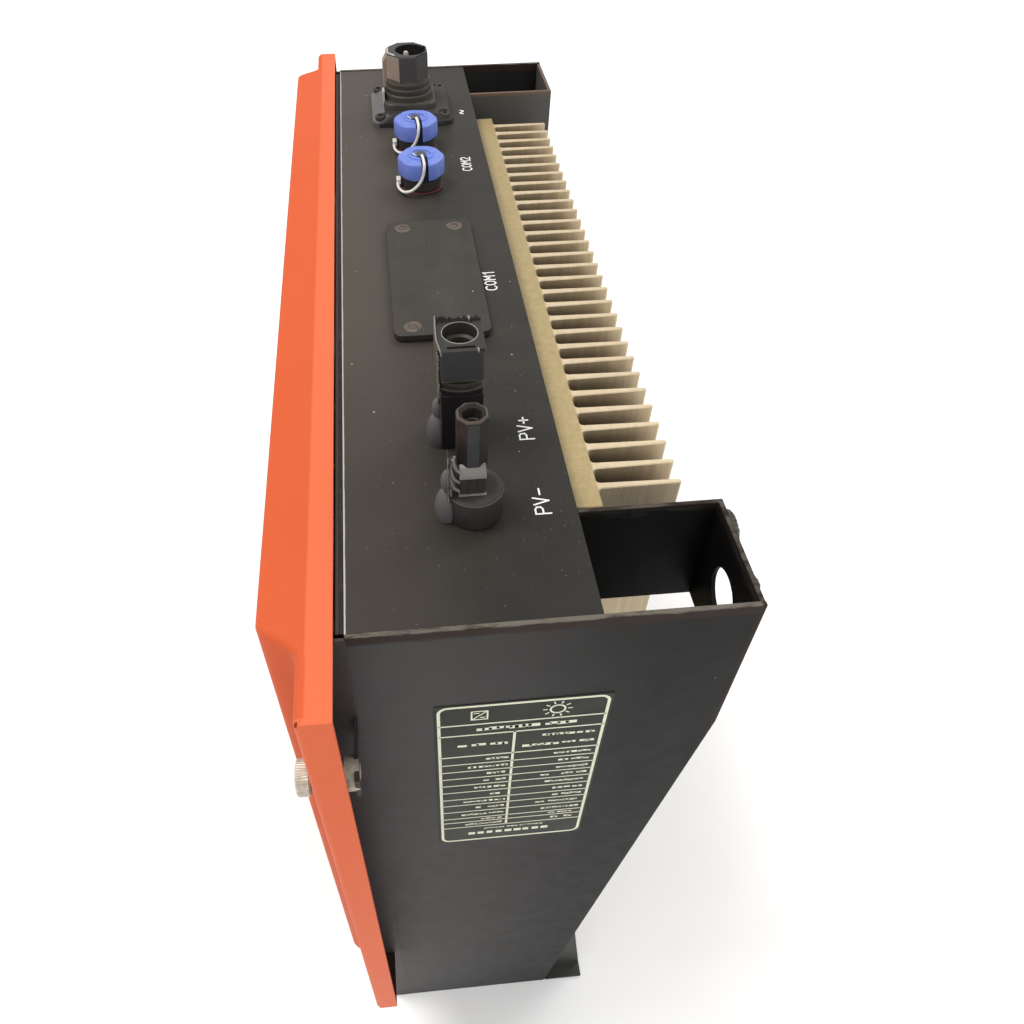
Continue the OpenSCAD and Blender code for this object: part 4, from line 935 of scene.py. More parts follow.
def rating_label():
    refined("rating_label", 0.12)
    lo, hi = panel_box("rating_label")
    face = hi.x + 0.05

    # u runs towards the back of the case, v upwards, both from the label's middle.
    def plane(u, v, lift):
        return (face + lift, (lo.y + hi.y) / 2 + u, (lo.z + hi.z) / 2 + v)

    shape = Shape()
    w, h = hi.y - lo.y, hi.z - lo.z
    edge, line = 0.9, 1.15
    left, right, top = -w / 2 + edge, w / 2 - edge, h / 2 - edge
    for rim, corner in ((edge, 4.0), (edge + line, 2.9)):
        outline = rounded_rectangle(0, 0, w - 2 * rim, h - 2 * rim, corner, 8)
        shape.verts += [plane(u, v, lift) for lift in (0, -0.04) for u, v in outline]
    n = len(shape.verts) // 4
    for k in range(n):
        m = (k + 1) % n
        for a, b in ((0, 2 * n), (0, n), (2 * n, 3 * n)):
            shape.faces.append((a + k, a + m, b + m, b + k))
    rows = [-13.2, -20.8, -37.2, -43.6, -49.7, -55.7, -61.7, -68.1, -74.8, -80.6, -87.1, -93.9, -98.0, -103.4]
    for i, row in enumerate(rows):
        path(shape, [(left + 0.8, top + row), (right - 0.8, top + row)], 0.75 if i < 3 else 0.6, plane, 0)
    divider = -w / 2 + 29.0
    path(shape, [(divider, top + rows[1]), (divider, top + rows[-1])], 1.0, plane, 0)
    rng = random.Random(7)

    def greek(u0, u1, v, height, fill=0.8):
        """A row of short bars that stands for a line of small print."""
        u = u0
        while u < u1:
            run = rng.uniform(0.5, 1.5) * height * 0.55
            if rng.random() < fill:
                end = min(u + run, u1)
                if end - u > 0.25:
                    lift = rng.uniform(-0.12, 0.12) * height
                    path(shape, [(u, v + lift), (end, v + lift)], height * rng.uniform(0.45, 0.8), plane, 0)
            u += run + height * 0.28

    ends = rows[2:]
    for a, b in zip(ends, ends[1:]):
        v = top + (a + b) / 2
        height = min(abs(b - a) * 0.36, 1.9)
        greek(right - rng.uniform(14, 22), right - 3.4, v, height)
        greek(divider - rng.uniform(7, 19), divider - 2, v, height)
    greek(right - 22, right - 3.2, top - 25.4, 2.0, 0.9)
    greek(divider + 2, right - 3.2, top - 32.4, 2.3, 0.85)
    greek(left + 8, divider - 3, top - 28.6, 2.4, 0.7)
    greek(left + 10, right - 11, top - 17.0, 2.8, 0.75)
    greek(left + 19, right - 17, top - 106.4, 1.5, 0.9)
    for k in range(9):
        block = left + 13 + k * 4.0
        path(shape, [(block, top - 110.8), (block + rng.uniform(0.2, 1.0), top - 110.8)], 2.3, plane, 0)
    # A plain sun pictogram: a ring with rays.
    cx, cy = right - 18.5, top - 7
    path(shape, arc(cx, cy, 2.6, 0, 342, 19), 0.7, plane, 0, True)
    for start, end in zip(arc(cx, cy, 3.9, 0, 324, 9), arc(cx, cy, 5.0, 0, 324, 9)):
        path(shape, [start, end], 0.55, plane, 0)
    # The plain converter symbol: a square with a diagonal.
    bx, by, half = left + 15, top - 7, 2.8
    corners = [(bx + i * half, by + j * half) for i, j in ((-1, -1), (1, -1), (1, 1), (-1, 1))]
    path(shape, corners, 0.6, plane, 0, True)
    path(shape, [(bx - half, by - half), (bx + half, by + half)], 0.5, plane, 0.03)
    path(shape, [(bx - 1.9, by + 1.5), (bx - 0.3, by + 1.5)], 0.45, plane, 0.03)
    wave = [(bx + 0.3, by - 1.6), (bx + 0.8, by - 1.1), (bx + 1.4, by - 1.7), (bx + 1.9, by - 1.2)]
    path(shape, wave, 0.4, plane, 0.03)
    shape.piece("label_print", "cream_ink", "root", "label_film", (), 0, smooth=False)


# ---------------------------------------------------------------- PV sockets

PV_Y = middle("pv_lock_nuts").y


def release_lobes(name, x, lobes):
    """Two stacked rounded lobes on the front side of a socket's foot, in grey nylon: a painted sheen."""
    shape = Shape()
    for dx, dy, z, r, h in lobes:
        low = math.asin(min(z / h, 1))
        turns = [-low + (math.pi / 2 + low) * i / 16 for i in range(17)]
        profile = [(r * math.cos(a), z + h * math.sin(a)) for a in turns]
        profile[-1] = (0.0001, profile[-1][1])
        shape.lathe((x + dx, PV_Y + dy, 0), profile, 48)
    shape.nylon(name, "nylon_grey", angle=60)


def ragged_edge(shape, lo, hi, axis, count, rng, low=0.2):
    """Short upright slivers of uneven height in a row along one axis: a moulding's torn edge."""
    step = (hi[axis] - lo[axis]) / count
    for i in range(count):
        a, b = list(lo), list(hi)
        a[axis] = lo[axis] + i * step
        b[axis] = a[axis] + step * rng.uniform(0.55, 0.95)
        b[2] = lo[2] + (hi[2] - lo[2]) * rng.uniform(low, 1.0)
        shape.block(a, b)


def pv_minus():
    y = PV_Y
    box = panel_box("pv_minus_socket")
    x = box[1].x - 9.3 - 1.2
    top = box[1].z
    collar_profile = [(9.2, 0), (9.7, 0.6), (9.7, 10.8), (9.4, 11.6), (8.6, 11.9), (6.4, 12.1)]
    collar = Shape(x, y).lathe((1.7, 1.0, 0), collar_profile, 72)
    collar.lathe(CENTRE, [(7.5, -16), (7.5, 0.2)], 48)
    collar.nylon("pv_minus_collar", "nylon", 0.25, 2, 50, replaces=["pv_minus_socket"],
                 cut=[Shape(x, y).block((-12, -12, 0.05), (12, -7.9, 14))])
    # Pale lip along part of the collar's top edge: a painted highlight.
    lip = Shape(x, y)
    lip.tube([(u, v, 11.45) for u, v in arc(1.7, 1.0, 9.6, -66, 98, 41)], 0.22, 8)
    lip.nylon("pv_minus_collar_lip", "nylon_worn")

    head = Shape(x, y)
    head.prism(rounded_rectangle(0.6, 0, 10.6, 8.8, 0.8), 11.8, 19.6)
    head.loft([(19.6, rounded_rectangle(0.6, 0, 10.6, 8.8, 0.8)),
               (23.4, rounded_rectangle(0.1, 0, 8.4, 8.4, 0.8))])
    for j in (-1.6, 1.2):
        head.block((5.8, j, 12.4), (6.2, j + 0.35, 19.2))
    head.nylon("pv_minus_latch_head", "nylon", 0.25)
    # Wedge on the near side, where the latch head slopes to the tube, pale with a painted highlight on its
    # sloped face.
    levels = ((5.2, 6.4, -4.5, 4.3, 19.5, 0), (5.2, 6.4, -4.5, 4.3, 21.3, 0.3),
              (3.6, 4.9, -4.3, 4.2, 24.0, 0.4))
    wedge = Shape(x, y).rings([[(far, u, z), (near, u, z - drop), (near, v, z - drop), (far, v, z)]
                               for far, near, u, v, z, drop in levels])
    wedge.block((4.0, -4.8, 12.0), (6.7, 4.4, 12.5))
    wedge.nylon("pv_minus_latch_wedge", "nylon_lit", 0.15)

    # Curved ribs of the latch, stacked on its front side, pale with painted highlights.
    ribs = (((-7.3, 11.8), (-7.6, 16.0), (-7.5, 20.5), (-7.1, 25.0), (-6.0, 29.0)),
            ((-6.5, 28.2), (-6.2, 25.6), (-5.5, 23.4), (-4.3, 21.8)),
            ((-7.4, 24.2), (-6.8, 21.0), (-5.9, 18.9), (-4.4, 17.4)),
            ((-7.5, 19.6), (-6.9, 16.8), (-5.9, 14.8), (-4.4, 13.4)))
    for k, rib in enumerate(ribs):
        route = smooth_route([(5.6 - 0.5 * i / len(rib), v, z) for i, (v, z) in enumerate(rib)], 5)
        shape = Shape(x, y).tube(route, 0.42 if k == 0 else 0.58, 10)
        shape.nylon("pv_minus_latch_rib_%d" % (k + 1), "nylon_lit", angle=50)
    web = Shape(x, y).prism([(-2, -7.2), (4.9, -7.2), (4.9, -3.8), (-2, -3.8)], 0.1, 22.5)
    web.nylon("pv_minus_latch_web", "nylon", 0.3)
    plate = Shape(x, y).prism([(-3, -8.4), (6.9, -8.4), (6.9, -7.9), (-3, -7.9)], 0.05, 16)
    plate.prism([(3.4, -8.4), (6.9, -8.4), (6.9, -7.9), (3.4, -7.9)], 16, 30.5)
    plate.nylon("pv_minus_latch_plate", "nylon", 0.1)
    rng = random.Random(11)
    # Pale slivers on the latch plate's edge: a painted highlight.
    edge = Shape(x, y)
    for i in range(24):
        z = 0.6 + i * 1.24
        edge.block((6.75, -8.42, z), (7.0, -8.42 + rng.uniform(0.15, 0.45), z + rng.uniform(0.9, 1.24)))
    edge.nylon("pv_minus_plate_edge", "nylon_lit")

    def flats(a, h):
        return 1.0 / max(abs(math.cos((a + math.pi / 8) % (math.pi / 4) - math.pi / 8)), 0.924) * 0.985

    profile = [(4.6, 16), (5.05, 23), (5.05, top - 0.9), (4.7, top - 0.2), (4.4, top - 0.1), (3.1, top - 0.9),
               (2.8, top - 2.4), (2.8, 17)]
    tube = Shape(x, y).lathe(CENTRE, profile, 64, radius=flats)
    tube.nylon("pv_minus_tube", "nylon_brown", angle=28)
    rim = ((4.62, top - 0.5), (4.98, top - 0.75), (4.7, top - 0.12), (4.3, top - 0.04))
    mouth = ((4.3, top - 0.06), (3.1, top - 0.85), (3.0, top - 1.0), (4.2, top - 0.3))
    for name, material, section in (("rim", "nylon_worn", rim), ("mouth", "nylon_brown", mouth)):
        ring = Shape(x, y).lathe(CENTRE, section, 64, loop=True, radius=flats)
        ring.nylon("pv_minus_tube_" + name, material)
    # Slate panel on the tube's front facet: painted light.
    panel = Shape(x, y).block((4.4, -1.9, 23.2), (5.03, 1.9, top - 1.2))
    panel.nylon("pv_minus_tube_panel", "nylon_slate", 0.05)
    release_lobes("pv_minus_lobes", x, ((3.5, -8.6, 4.5, 4.1, 8.8), (3.5, -7.9, 16.6, 2.6, 5.0)))


def pv_plus():
    y = PV_Y
    lo, hi = panel_box("pv_plus_socket")
    x = hi.x - 10.5
    top = hi.z - 2.3
    foot = Shape(x, y).lathe(CENTRE, [(8.0, 0), (8.4, 0.6), (8.4, 7.4), (7.9, 8)], 72)
    foot.lathe(CENTRE, [(7.5, -16), (7.5, 0.2)], 48)
    foot.nylon("pv_plus_collar", "nylon_deep", 0.25, 2, 50, replaces=["pv_plus_socket"])

    def bowed(reach, half, sag=2.4, back=-6.7):
        """Outline with a bowed near side, reach from the socket's axis."""
        bow = [(reach - sag * (v / half) ** 2, v) for v in (half * (i / 8 - 1) for i in range(17))]
        return bow + [(back, half), (back, -half)]

    neck = Shape(x, y).prism(bowed(10.3, 7.4, 0.3), 0.2, 24.6).prism(bowed(10.3, 7.4), 24.5, 26.4)
    neck.nylon("pv_plus_neck", "nylon_deep", 0.3)
    ledge = Shape(x, y).prism(bowed(10.35, 7.5), 26.3, 27.0).prism(bowed(8.9, 7.3), 26.9, 28.6)
    ledge.nylon("pv_plus_ledge", "nylon_olive", 0.2)
    waist = Shape(x, y).prism(rounded_rectangle(-0.2, 0, 13.4, 14.6, 1.4), 26.0, 31.4)
    waist.nylon("pv_plus_waist", "nylon_deep", 0.3)
    lips = Shape(x, y).prism(bowed(10.44, 7.5), 26.35, 26.75)
    lips.block((9.6, -7.3, 30.9), (10.46, 7.1, 31.3))
    lips.nylon("pv_plus_ridges", "nylon_worn", 0.05)

    plan = [(-7.8, -7.8), (3.3, -8.1), (9.9, -7.3), (10.4, -6.6), (10.4, 6.8),
            (9.8, 7.5), (8.4, 7.9), (-7.8, 8.1)]
    housing = Shape(x, y).prism(plan, 31.0, top)
    bore = Shape(x, y).lathe(CENTRE, [(6.0, 33), (6.0, top + 1)], 56)
    slot = Shape(x, y).block((7.4, -5.0, top - 9), (8.5, 4.4, top + 1))
    notch = Shape(x, y).block((9.4, 5.4, top - 1.4), (11, 9, top + 1))
    housing.nylon("pv_plus_housing", "nylon", 0.3, 2, 30, cut=[bore, slot, notch])
    # Slate face on the housing's front: painted light.
    face = Shape(x, y).block((10.2, -6.5, 31.3), (10.46, 6.7, top - 0.35))
    face.nylon("pv_plus_face", "nylon_slate", 0.12)
    # Rings inside the bore: its sleeve, its floor and its worn rim.
    for name, material, segments, section in (
            ("sleeve", "nylon_worn", 56, [(6.1, 30), (6.1, top - 4.6), (4.9, top - 5.2), (4.9, 30)]),
            ("bore_floor", "nylon_deep", 48, [(6.0, 30), (6.0, 33.2), (2.1, 33.4), (2.1, 30)]),
            ("bore_rim", "nylon_lit", 56,
             [(6.02, top - 0.8), (6.02, top + 0.15), (6.3, top + 0.15), (6.5, top - 0.2)])):
        Shape(x, y).lathe(CENTRE, section, segments, loop=True).nylon("pv_plus_" + name, material)

    rng = random.Random(5)
    lip = Shape(x, y).block((-7.75, -7.6, top - 0.5), (-6.6, 8.0, top + 0.6))
    ragged_edge(lip, (-7.7, -7.6, top + 0.4), (-6.7, 8.0, hi.z), 1, 15, rng)
    lip.nylon("pv_plus_far_lip", "nylon", 0.1, 1)
    plate = Shape(x, y).prism([(-7.4, -8.5), (8.2, -8.5), (8.2, -7.6), (-7.4, -7.6)], 20, top - 0.6)
    plate.nylon("pv_plus_side_plate", "nylon_worn", 0.2)
    # Pale slivers, marks and a corner line along the edges: partly wear, partly a painted highlight.
    edge = Shape(x, y)
    for i in range(17):
        z = 22.5 + i * 1.15
        edge.block((8.0, -8.6, z), (8.4, -8.6 + rng.uniform(0.5, 1.0), z + rng.uniform(0.7, 1.2)))
    for i in range(22):
        z = 0.8 + i * 1.15
        edge.block((8.2, -7.5, z), (8.5, -7.5 + rng.uniform(0.08, 0.3), z + rng.uniform(0.5, 1.15)))
    corner = [(-7.8, -7.9, top + 1.8), (-4.0, -8.1, top + 0.5), (3.2, -8.25, top + 0.1),
              (9.8, -7.4, top + 0.05), (10.3, -7.0, top - 1.5)]
    edge.tube(corner, 0.26, 6)
    for a, b, c in ((9.0, 5.0, top - 0.4), (-7.4, 3.4, hi.z - 1.4)):
        edge.block((a, b, c), (a + 1.9, b + 0.6, c + 0.75))
    edge.nylon("pv_plus_worn_and_lit_edges", "nylon_lit")
    release_lobes("pv_plus_lobes", x, ((5.4, -8.5, 4.9, 4.2, 8.9), (5.4, -8.1, 15.6, 2.5, 4.8)))


# ---------------------------------------------------------------- data sockets and caps

TETHER = [
    (3.9, 0.3, 17.6), (5.4, 0.5, 17.7), (7.7, 0.7, 17.7), (10.4, 0.8, 17.6), (12.8, 0.9, 17.0),
    (14.0, 0.7, 15.0), (13.9, 0.2, 12.0), (13.7, -1.0, 9.0), (13.4, -2.8, 6.4), (12.9, -5.3, 4.1),
    (12.3, -7.6, 2.9), (10.9, -9.9, 2.3), (8.2, -11.5, 2.2), (5.2, -12.4, 2.3), (2.2, -12.6, 2.8),
    (0.2, -12.0, 3.4),
]
TETHER_R = 0.72
CAP_RIDGE_H = 0.5


def smooth_route(points, steps):
    """Catmull-Rom points through a list of points."""
    p = [Vector(q) for q in points]
    p = [p[0] * 2 - p[1]] + p + [p[-1] * 2 - p[-2]]
    out = []
    for i in range(1, len(p) - 2):
        for s in range(steps):
            t = s / steps
            a, b, c, d = p[i - 1], p[i], p[i + 1], p[i + 2]
            out.append(0.5 * ((2 * b) + (c - a) * t + (2 * a - 5 * b + 4 * c - d) * t ** 2
                              + (3 * b - a - 3 * c + d) * t ** 3))
    out.append(p[-2])
    return out


def data_port(number):
    cap_node = "data_cap_%d" % number
    x, y = middle(cap_node).x, middle(cap_node).y
    lo, hi = panel_box(cap_node)
    top = hi.z - CAP_RIDGE_H
    body = "cap_%d" % number
    slide = "cap_slide_%d" % number

    socket_top = panel_box("data_socket_%d" % number)[1].z
    profile = [(8, -12), (8, 1.2), (9.7, 1.2), (10.1, 1.6), (10.1, 5.9), (9.6, 6.4), (8.6, 6.4)]
    socket = Shape(x, y).lathe(CENTRE, profile, 64)
    thread = [(8.6, 6.4)]
    for i in range(3):
        z = 6.7 + i * 1.8
        thread += [(8.6, z), (9.0, z + 0.5), (9.0, z + 0.9), (8.6, z + 1.4)]
    thread += [(8.6, socket_top), (7.0, socket_top), (7.0, 6)]
    socket.lathe(CENTRE, thread, 64)
    socket.block((-2, -12.6, 1.8), (2, -9, 4.8))
    socket.nylon("data_socket_body_%d" % number, "nylon", replaces=["data_socket_%d" % number])

    def grips(a, h):
        facet = (a - math.radians(-36)) % (math.pi / 3) - math.pi / 6
        return min(1.0, 0.955 / math.cos(facet)) if h < top - 0.1 else 1.0

    r = (hi.x - lo.x) / 2
    profile = [(9.4, top - 2.1), (9.4, lo.z), (r - 0.9, lo.z), (r - 0.15, lo.z + 0.5), (r, lo.z + 1.2),
               (r, top - 1.7), (r - 0.4, top - 0.8), (r - 1.3, top - 0.2), (r - 2.4, top), (6.6, top),
               (6.3, top + CAP_RIDGE_H), (5.2, top + CAP_RIDGE_H), (4.9, top - 0.2), (1.5, top - 0.4),
               (1.35, top - 2.1)]
    near_slot = Shape(x, y).block((1.4, -0.4, top - 1.7), (r + 1, 3.1, hi.z + 1))
    side_slot = Shape(x, y).block((r - 1.5, 0.3, lo.z - 1), (r + 1, 3.1, hi.z + 1))
    hook = Shape(x, y).prism([(-1.4, 2.0), (1.6, 1.6), (1.0, -1.4), (-0.4, -4.6), (-1.8, -4.2),
                          (-1.6, -1.2)], top - 1.3, hi.z + 1)
    cap = Shape(x, y).lathe(CENTRE, profile, 120, radius=grips, loop=True)
    cap.piece("data_cap_shell_%d" % number, "blue", body, "blue_plastic", [cap_node], 0, angle=32,
              cut=[near_slot, side_slot, hook])
    # Dark fill in the carved slots: painted shade.
    groove = Shape(x, y).prism([(1.0, 2.9), (1.0, -1.2), (-0.5, -4.4), (-1.6, -4.1), (-1.5, 2.0)],
                           top - 1.35, top - 0.7)
    groove.block((1.0, 0.2, top - 1.8), (r - 0.5, 3.05, top - 0.75))
    groove.block((r - 1.8, 0.35, lo.z + 0.1), (r - 0.75, 3.05, top - 0.8))
    groove.piece("data_cap_groove_%d" % number, "groove", body, "blue_plastic", (), 0)
    # White line along the hook's edge: a painted highlight.
    gleam = Shape(x, y)
    gleam.tube([(-1.9, -4.3, top + 0.1), (-0.4, -3.9, top + 0.12), (1.2, -1.8, top + 0.1)], 0.3, 8)
    gleam.piece("data_cap_worn_edge_%d" % number, "white", body, "blue_plastic", (), 0)

    rivet = Shape(x, y).lathe(CENTRE,
                              [(1.2, top - 3.2), (1.2, top + 0.2), (2.4, top + 0.25), (2.7, top + 0.5),
                                      (2.4, top + 0.9), (1.5, top + 1.2), (0.001, top + 1.25)], 40)
    rivet.piece("data_cap_rivet_%d" % number, "rivet", slide, "blue_plastic", ["cap_rivet_%d" % number], 0)

    tether = Shape(x, y).tube(smooth_route(TETHER, 5), TETHER_R, 12)
    obj = tether.piece("cap_tether_cord_%d" % number, "white", "root", "white_nylon",
                       ["cap_tether_%d" % number], 0, angle=60)
    obj.parent = None
    del obj["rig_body"]
    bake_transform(obj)
    clip = Shape(x, y)
    clip.prism(rounded_rectangle(0.4, -12.0, 4.4, 2.4, 0.9), 2.2, 5.0)
    clip.piece("cap_tether_clip_%d" % number, "white", "root", "white_nylon", (), 0.3)


def data_seals():
    shape = Shape()
    for n in (1, 2):
        c = middle("data_cap_%d" % n)
        shape.lathe((c.x, c.y, 0), [(8.1, 0), (10.9, 0), (11.2, 0.3), (11.2, 0.7), (10.9, 1.0), (8.1, 1.2)],
                    64,
                    loop=True)
    shape.piece("data_seal_rings", "red", "root", "red_seal", ["data_seals"], 0)


# ---------------------------------------------------------------- grid socket


def grid_socket():
    lo, hi = panel_box("ac_socket")
    x, row = (lo.x + hi.x) / 2, (lo.y + hi.y) / 2
    w, d = hi.x - lo.x - 0.4, hi.y - lo.y - 0.4
    y = row - 1.5
    bore_y = row + 0.6
    flange = Shape().loft([(z, rounded_rectangle(x, row + 0.25 * g, w - 0.5 * g, d - g, 6.0, 8))
                           for z, g in ((0, 0), (2.4, 0), (6.0, 9.6))])
    flange.lathe((x, row, 0), [(15, -18), (15, 0.1)], 48)
    holes = [cylinder_along("z", (x + i * 19.5, row + j * 18.7, 0), 3.4, 3.8, 8) for i in (-1,
            1) for j in (-1, 1)]
    flange = flange.nylon("grid_socket_flange", "nylon", 0.4, replaces=["ac_socket"], cut=holes)
    # The flange's faces towards -Y in grey nylon: painted light on the lit side.
    second_material(flange, "nylon_grey", lambda face: face.normal.y < -0.3)

    plinth = Shape().loft([(z, rounded_rectangle(x, y + 0.4, g, g, 6.0))
                           for z, g in ((5.9, 31.0), (8.6, 30.4), (9.4, 29.0))])
    plinth.nylon("grid_socket_plinth", "nylon_olive", 0.3)
    collar = Shape().lathe((x, y, 0),
                           [(14.5, 9.0), (14.5, 12.0), (13.9, 12.7), (13.4, 12.8), (13.6, 13.2), (13.6, 15.2),
                                       (13.0, 16.0), (13.1, 16.2), (13.1, 18.2), (12.6, 18.8), (12.4, 20.2),
                                       (11.8, 20.4)],
                           72)
    collar.nylon("grid_socket_collar", "nylon_olive")

    top = hi.z
    outer = arc(x, y, 12.9, 22.5, 337.5, 7)
    barrel = Shape().loft([(19.8, outer), (top - 0.7, outer), (top, shrink(outer, 0.7))])
    cut = [Shape().lathe((x + 0.3, bore_y, 0), [(7.4, 20.5), (7.4, top - 6), (8.6, top - 3), (8.6, top + 1)],
                         56)]
    body = barrel.nylon("grid_socket_barrel", "nylon_barrel", 0.5, 2, 30, cut=cut)
    front_y = at(0, y - 6, 0).y
    # The barrel's front faces towards -Y in tan nylon: painted light on the lit side.
    second_material(body, "nylon_tan", lambda face: face.normal.y < -0.5 and face.center.y < front_y)
    # Latch hook on the barrel's front side, in tan nylon: painted light on the lit side.
    hook = Shape().rings([[(x + dx, y - 11.6, z) for dx,
                           z in ((-4, 14.2), (4, 14.2), (4, top - 1.4), (-4, top - 1.4))],
                          [(x + dx, y - 14.2, z) for dx,
                           z in ((-3.4, 15), (3.4, 15), (3.4, 28), (-3.4, 28))]])
    hook.nylon("grid_socket_latch", "nylon_tan", 0.5)
    # Pale streak and top edge on the latch: partly wear, partly a painted highlight.
    lit = Shape().block((x + 3.5, y - 15.2, 3.2), (x + 9.5, y - 14.0, 14.6))
    lit.tube([(x - 4.5, y - 10.7, top - 0.1), (x + 4.4, y - 10.9, top - 0.1), (x + 8.6, y - 7.0, top - 0.2)],
             0.5, 8)
    lit.nylon("grid_socket_latch_edge", "nylon_pale", 0.3)
    lining = Shape().lathe((x + 0.3, bore_y, 0),
                           [(7.45, 21), (7.45, top - 6), (8.5, top - 3.2), (8.55, top - 0.3),
                                                  (8.3, top - 0.3), (8.2, top - 3.1), (7.1, top - 6),
                                                  (7.1, 21)], 56, loop=True)
    lining.nylon("grid_socket_bore_lining", "nylon_deep")
    stud = Shape().lathe((x - 4.6, bore_y - 2.2, 0),
                         [(1.5, 26), (1.5, top - 3.6), (1.1, top - 2.7), (0.001, top - 2.5)], 20)
    stud.nylon("grid_socket_key", "nylon_pale")


# ---------------------------------------------------------------- screws, bolts and knobs


def service_screws():
    plate = middle("service_plate")
    lo, hi = panel_box("service_screws")
    head_r = 3.95
    dx, dy = (hi.x - lo.x) / 2 - head_r, (hi.y - lo.y) / 2 - head_r
    top = panel_box("service_plate")[1].z
    places = [(plate.x + i * dx, plate.y + j * dy, 0) for i in (-1, 1) for j in (-1, 1)]
    head = [(2, 1.2), (3.9, top - 0.25), (3.9, top - 0.1), (3.5, top + 0.02), (1.75, top + 0.02)]
    shape = Shape()
    for place in places:
        shape.lathe(place, head, 40)
    # The heads' end faces go, and hexagonal sockets take their place.
    shape.faces = [f for f in shape.faces if len(f) != 40]
    for place in places:
        shape.lathe(place, [(0.001, top - 1.3), (1.5, top - 1.1), (1.7, top + 0.02)], 6)
    shape.piece("service_plate_screws", "screw", "root", "dull_screws", ["service_screws"], 0, angle=25)


def thumb_knob(side):
    c = panel_box("thumb_screw_" + side)
    x, z = (c[0].x + c[1].x) / 2, (c[0].z + c[1].z) / 2
    front, tip = c[0].y, c[1].y
    r = (c[1].x - c[0].x) / 2
    thick = 5.2

    def ribs(a, h):
        return 1 - (0.045 * (0.5 - 0.5 * math.cos(40 * a)) ** 0.7 if 0.8 < h < 4.4 else 0)

    profile = [(0.001, 0.7), (2.6, 0.6), (3.6, 0.15), (4.8, 0), (r - 0.6, 0.2), (r - 0.15, 0.6), (r, 0.82),
               (r, 4.38), (r - 0.15, 4.5), (r - 0.9, 4.9), (3.6, thick), (2.45, thick)]
    pitch = 0.8
    y = thick + 0.4
    while front + y + pitch < tip:
        profile += [(2.45, y), (2.2, y + pitch / 2)]
        y += pitch
    profile += [(2.2, tip - front - 0.3), (0.001, tip - front)]
    shape = Shape().lathe((x, front, z), profile, 240, "y", radius=ribs)
    shape.piece("thumb_knob_" + side, "knob", "thumb_" + side, "nickel_knob", ["thumb_screw_" + side],
                angle=40)


def washer(side):
    lo, hi = panel_box("captive_washer_" + side)
    x, z, r = (lo.x + hi.x) / 2, (lo.z + hi.z) / 2, (hi.x - lo.x) / 2
    t = hi.y - lo.y
    ring = [(2.6, 0), (r - 0.3, 0), (r, 0.3), (r, t - 0.3), (r - 0.3, t), (2.6, t)]
    shape = Shape().lathe((x, lo.y, z), ring, 48, "y", loop=True)
    shape.piece("retaining_washer_" + side, "white", "thumb_slide_" + side, "white_nylon",
                ["captive_washer_" + side], 0)


def bracket_bolts():
    lo, hi = panel_box("bracket_bolts")
    face, z = lo.y, (lo.z + hi.z) / 2
    shape = Shape()
    for x, flange_r in ((184.5, 8.5), (208, 4.8)):
        teeth = 28 if flange_r > 6 else 18
        shape.lathe((x, face, z), [(flange_r, 0), (flange_r, 1.9), (flange_r * 0.86, 2.6)], teeth * 4, "y",
                    radius=lambda a, h, k=teeth: 1 - 0.06 * (0.5 + 0.5 * math.cos(k * a)))
        head = flange_r * 0.66
        shape.lathe((x, face, z), [(head, 1.0), (head, 3.2), (head * 0.8, 3.9)], 6, "y")
    shape.piece("bracket_flange_bolts", "bolt", "root", "zinc_steel", ["bracket_bolts"], 0.2)


def front_returns():
    """The side plates' front edges, folded forward beside the lid, under the cover, in the lighter lid coat:
    painted light in the shaded gap.
    """
    for side, sign in (("right", 1), ("left", -1)):
        lo, hi = panel_box("side_plate_" + side)
        outer = hi.x if sign > 0 else lo.x
        outline = sorted((outer, outer - sign * 1.2))
        fold = Shape().block((outline[0], -9.5, lo.z), (outline[1], 0.3, -0.3))
        fold.piece("side_plate_return_" + side, "lid", "root", "black_powder_coat", (), 0.3)


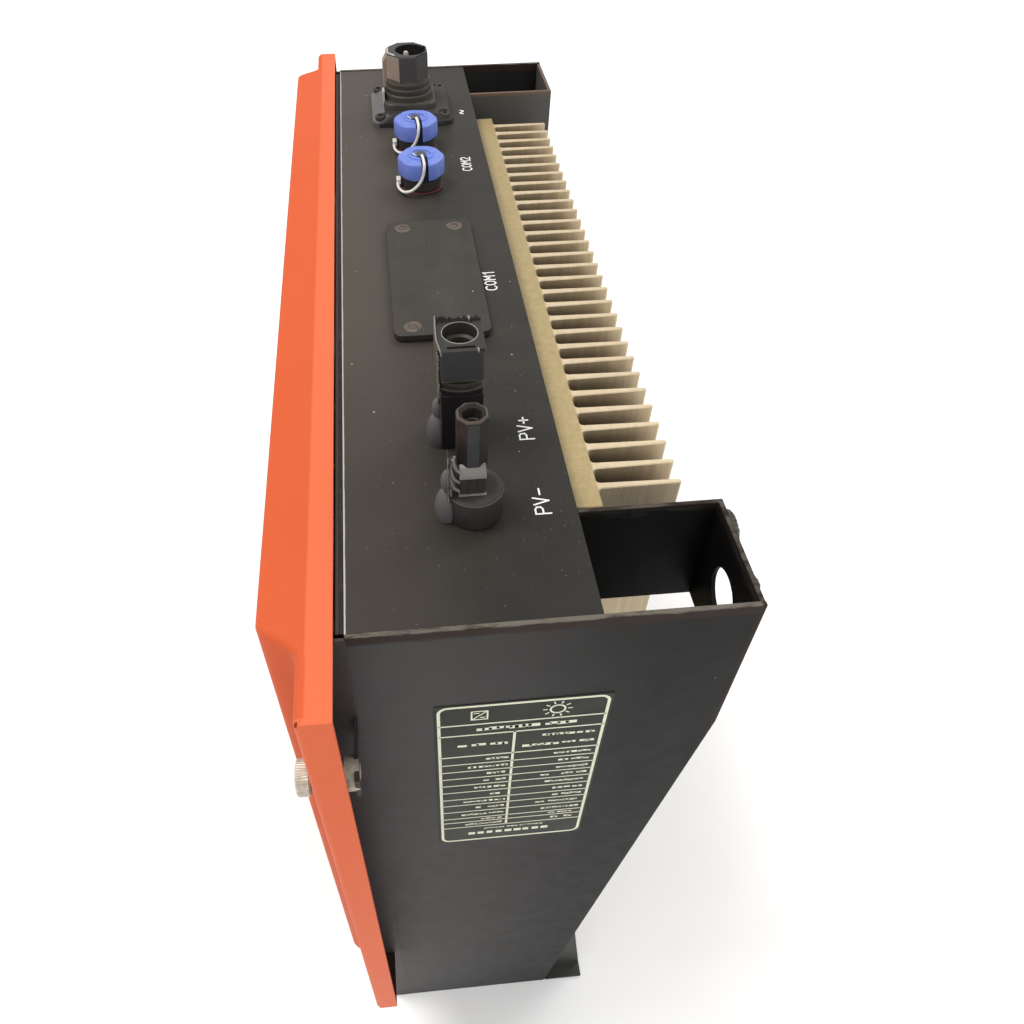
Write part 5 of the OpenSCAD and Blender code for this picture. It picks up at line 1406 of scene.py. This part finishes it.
def lid_screws():
    lo, hi = panel_box("lid_screws")
    r = 3.2
    shape = Shape()
    xs = [lo.x + r + (hi.x - lo.x - 2 * r) * i / 4 for i in range(5)]
    zs = [lo.z + r + (hi.z - lo.z - 2 * r) * i / 3 for i in range(4)]
    places = [(x, z) for x in xs for z in (zs[0], zs[3])] + [(x, z) for x in (xs[0], xs[4]) for z in zs[1:3]]
    profile = [(0.001, -1.2), (1.3, -1.2), (1.5, -2.2), (2.3, -2.0), (3.0, -1.3), (3.2, -0.4), (3.2, 0)]
    for x, z in places:
        shape.lathe((x, hi.y, z), profile, 24, "y")
    shape.piece("lid_pan_screws", "zinc", "root", "zinc_steel", ["lid_screws"], 0, angle=40)


def ac_screws():
    lo, hi = panel_box("ac_screws")
    r = 3.2
    shape = Shape()
    profile = [(1.8, 0.5), (1.8, 3.8), (3.2, 3.8), (3.2, 5.0), (2.7, 5.6), (1.5, 5.75), (1.4, 4.6),
               (0.001, 4.6)]
    for x in (lo.x + r, hi.x - r):
        for y in (lo.y + r, hi.y - r):
            shape.lathe((x, y, 0), profile, 24)
    shape.piece("grid_flange_screws", "dark_screw", "root", "dull_screws", ["ac_screws"], 0, angle=40)


# ---------------------------------------------------------------- build

make_camera()
make_studio()

front_cover()
heatsink()
refined("connector_panel", 0.9, "panel", 3)
refined("side_plate_right", 0.5, "side")
refined("side_plate_left", 0.5, "side")
refined("corner_channel_right", 0.45, "channel")
refined("corner_channel_left", 0.45, "far_channel")
for node in ("foot_bracket_right", "foot_bracket_left"):
    refined(node, 0.45, "foot")
front_returns()
# The lid's lighter coat is painted light in the shaded gap.
refined("front_lid", 0.4, "lid")
refined("lower_end_plate", 0.5)
refined("back_plate", 0.3)
refined("service_plate", 0.4, "plate")
LUG_PLATE_Y = at(0, -1.6, 0).y
second_material(refined("screw_lugs", 0.3, "side"), "lug", lambda face: face.center.y < LUG_PLATE_Y)
refined("cover_hooks", 0.3)
refined("display_housing", 0.4)
refined("display_key", 0.5)
refined("display_window", 0.2)
rating_label()
panel_marks()
pv_minus()
pv_plus()
for number in (1, 2):
    data_port(number)
data_seals()
grid_socket()
service_screws()
for side in ("right", "left"):
    thumb_knob(side)
    washer(side)
bracket_bolts()
lid_screws()
ac_screws()

for node, obj in frame["nodes"].items():
    if not obj.hide_render:
        obj.data.materials.clear()
        obj.data.materials.append(M[SLOT_MATERIAL[NODE_SLOT[node]]])
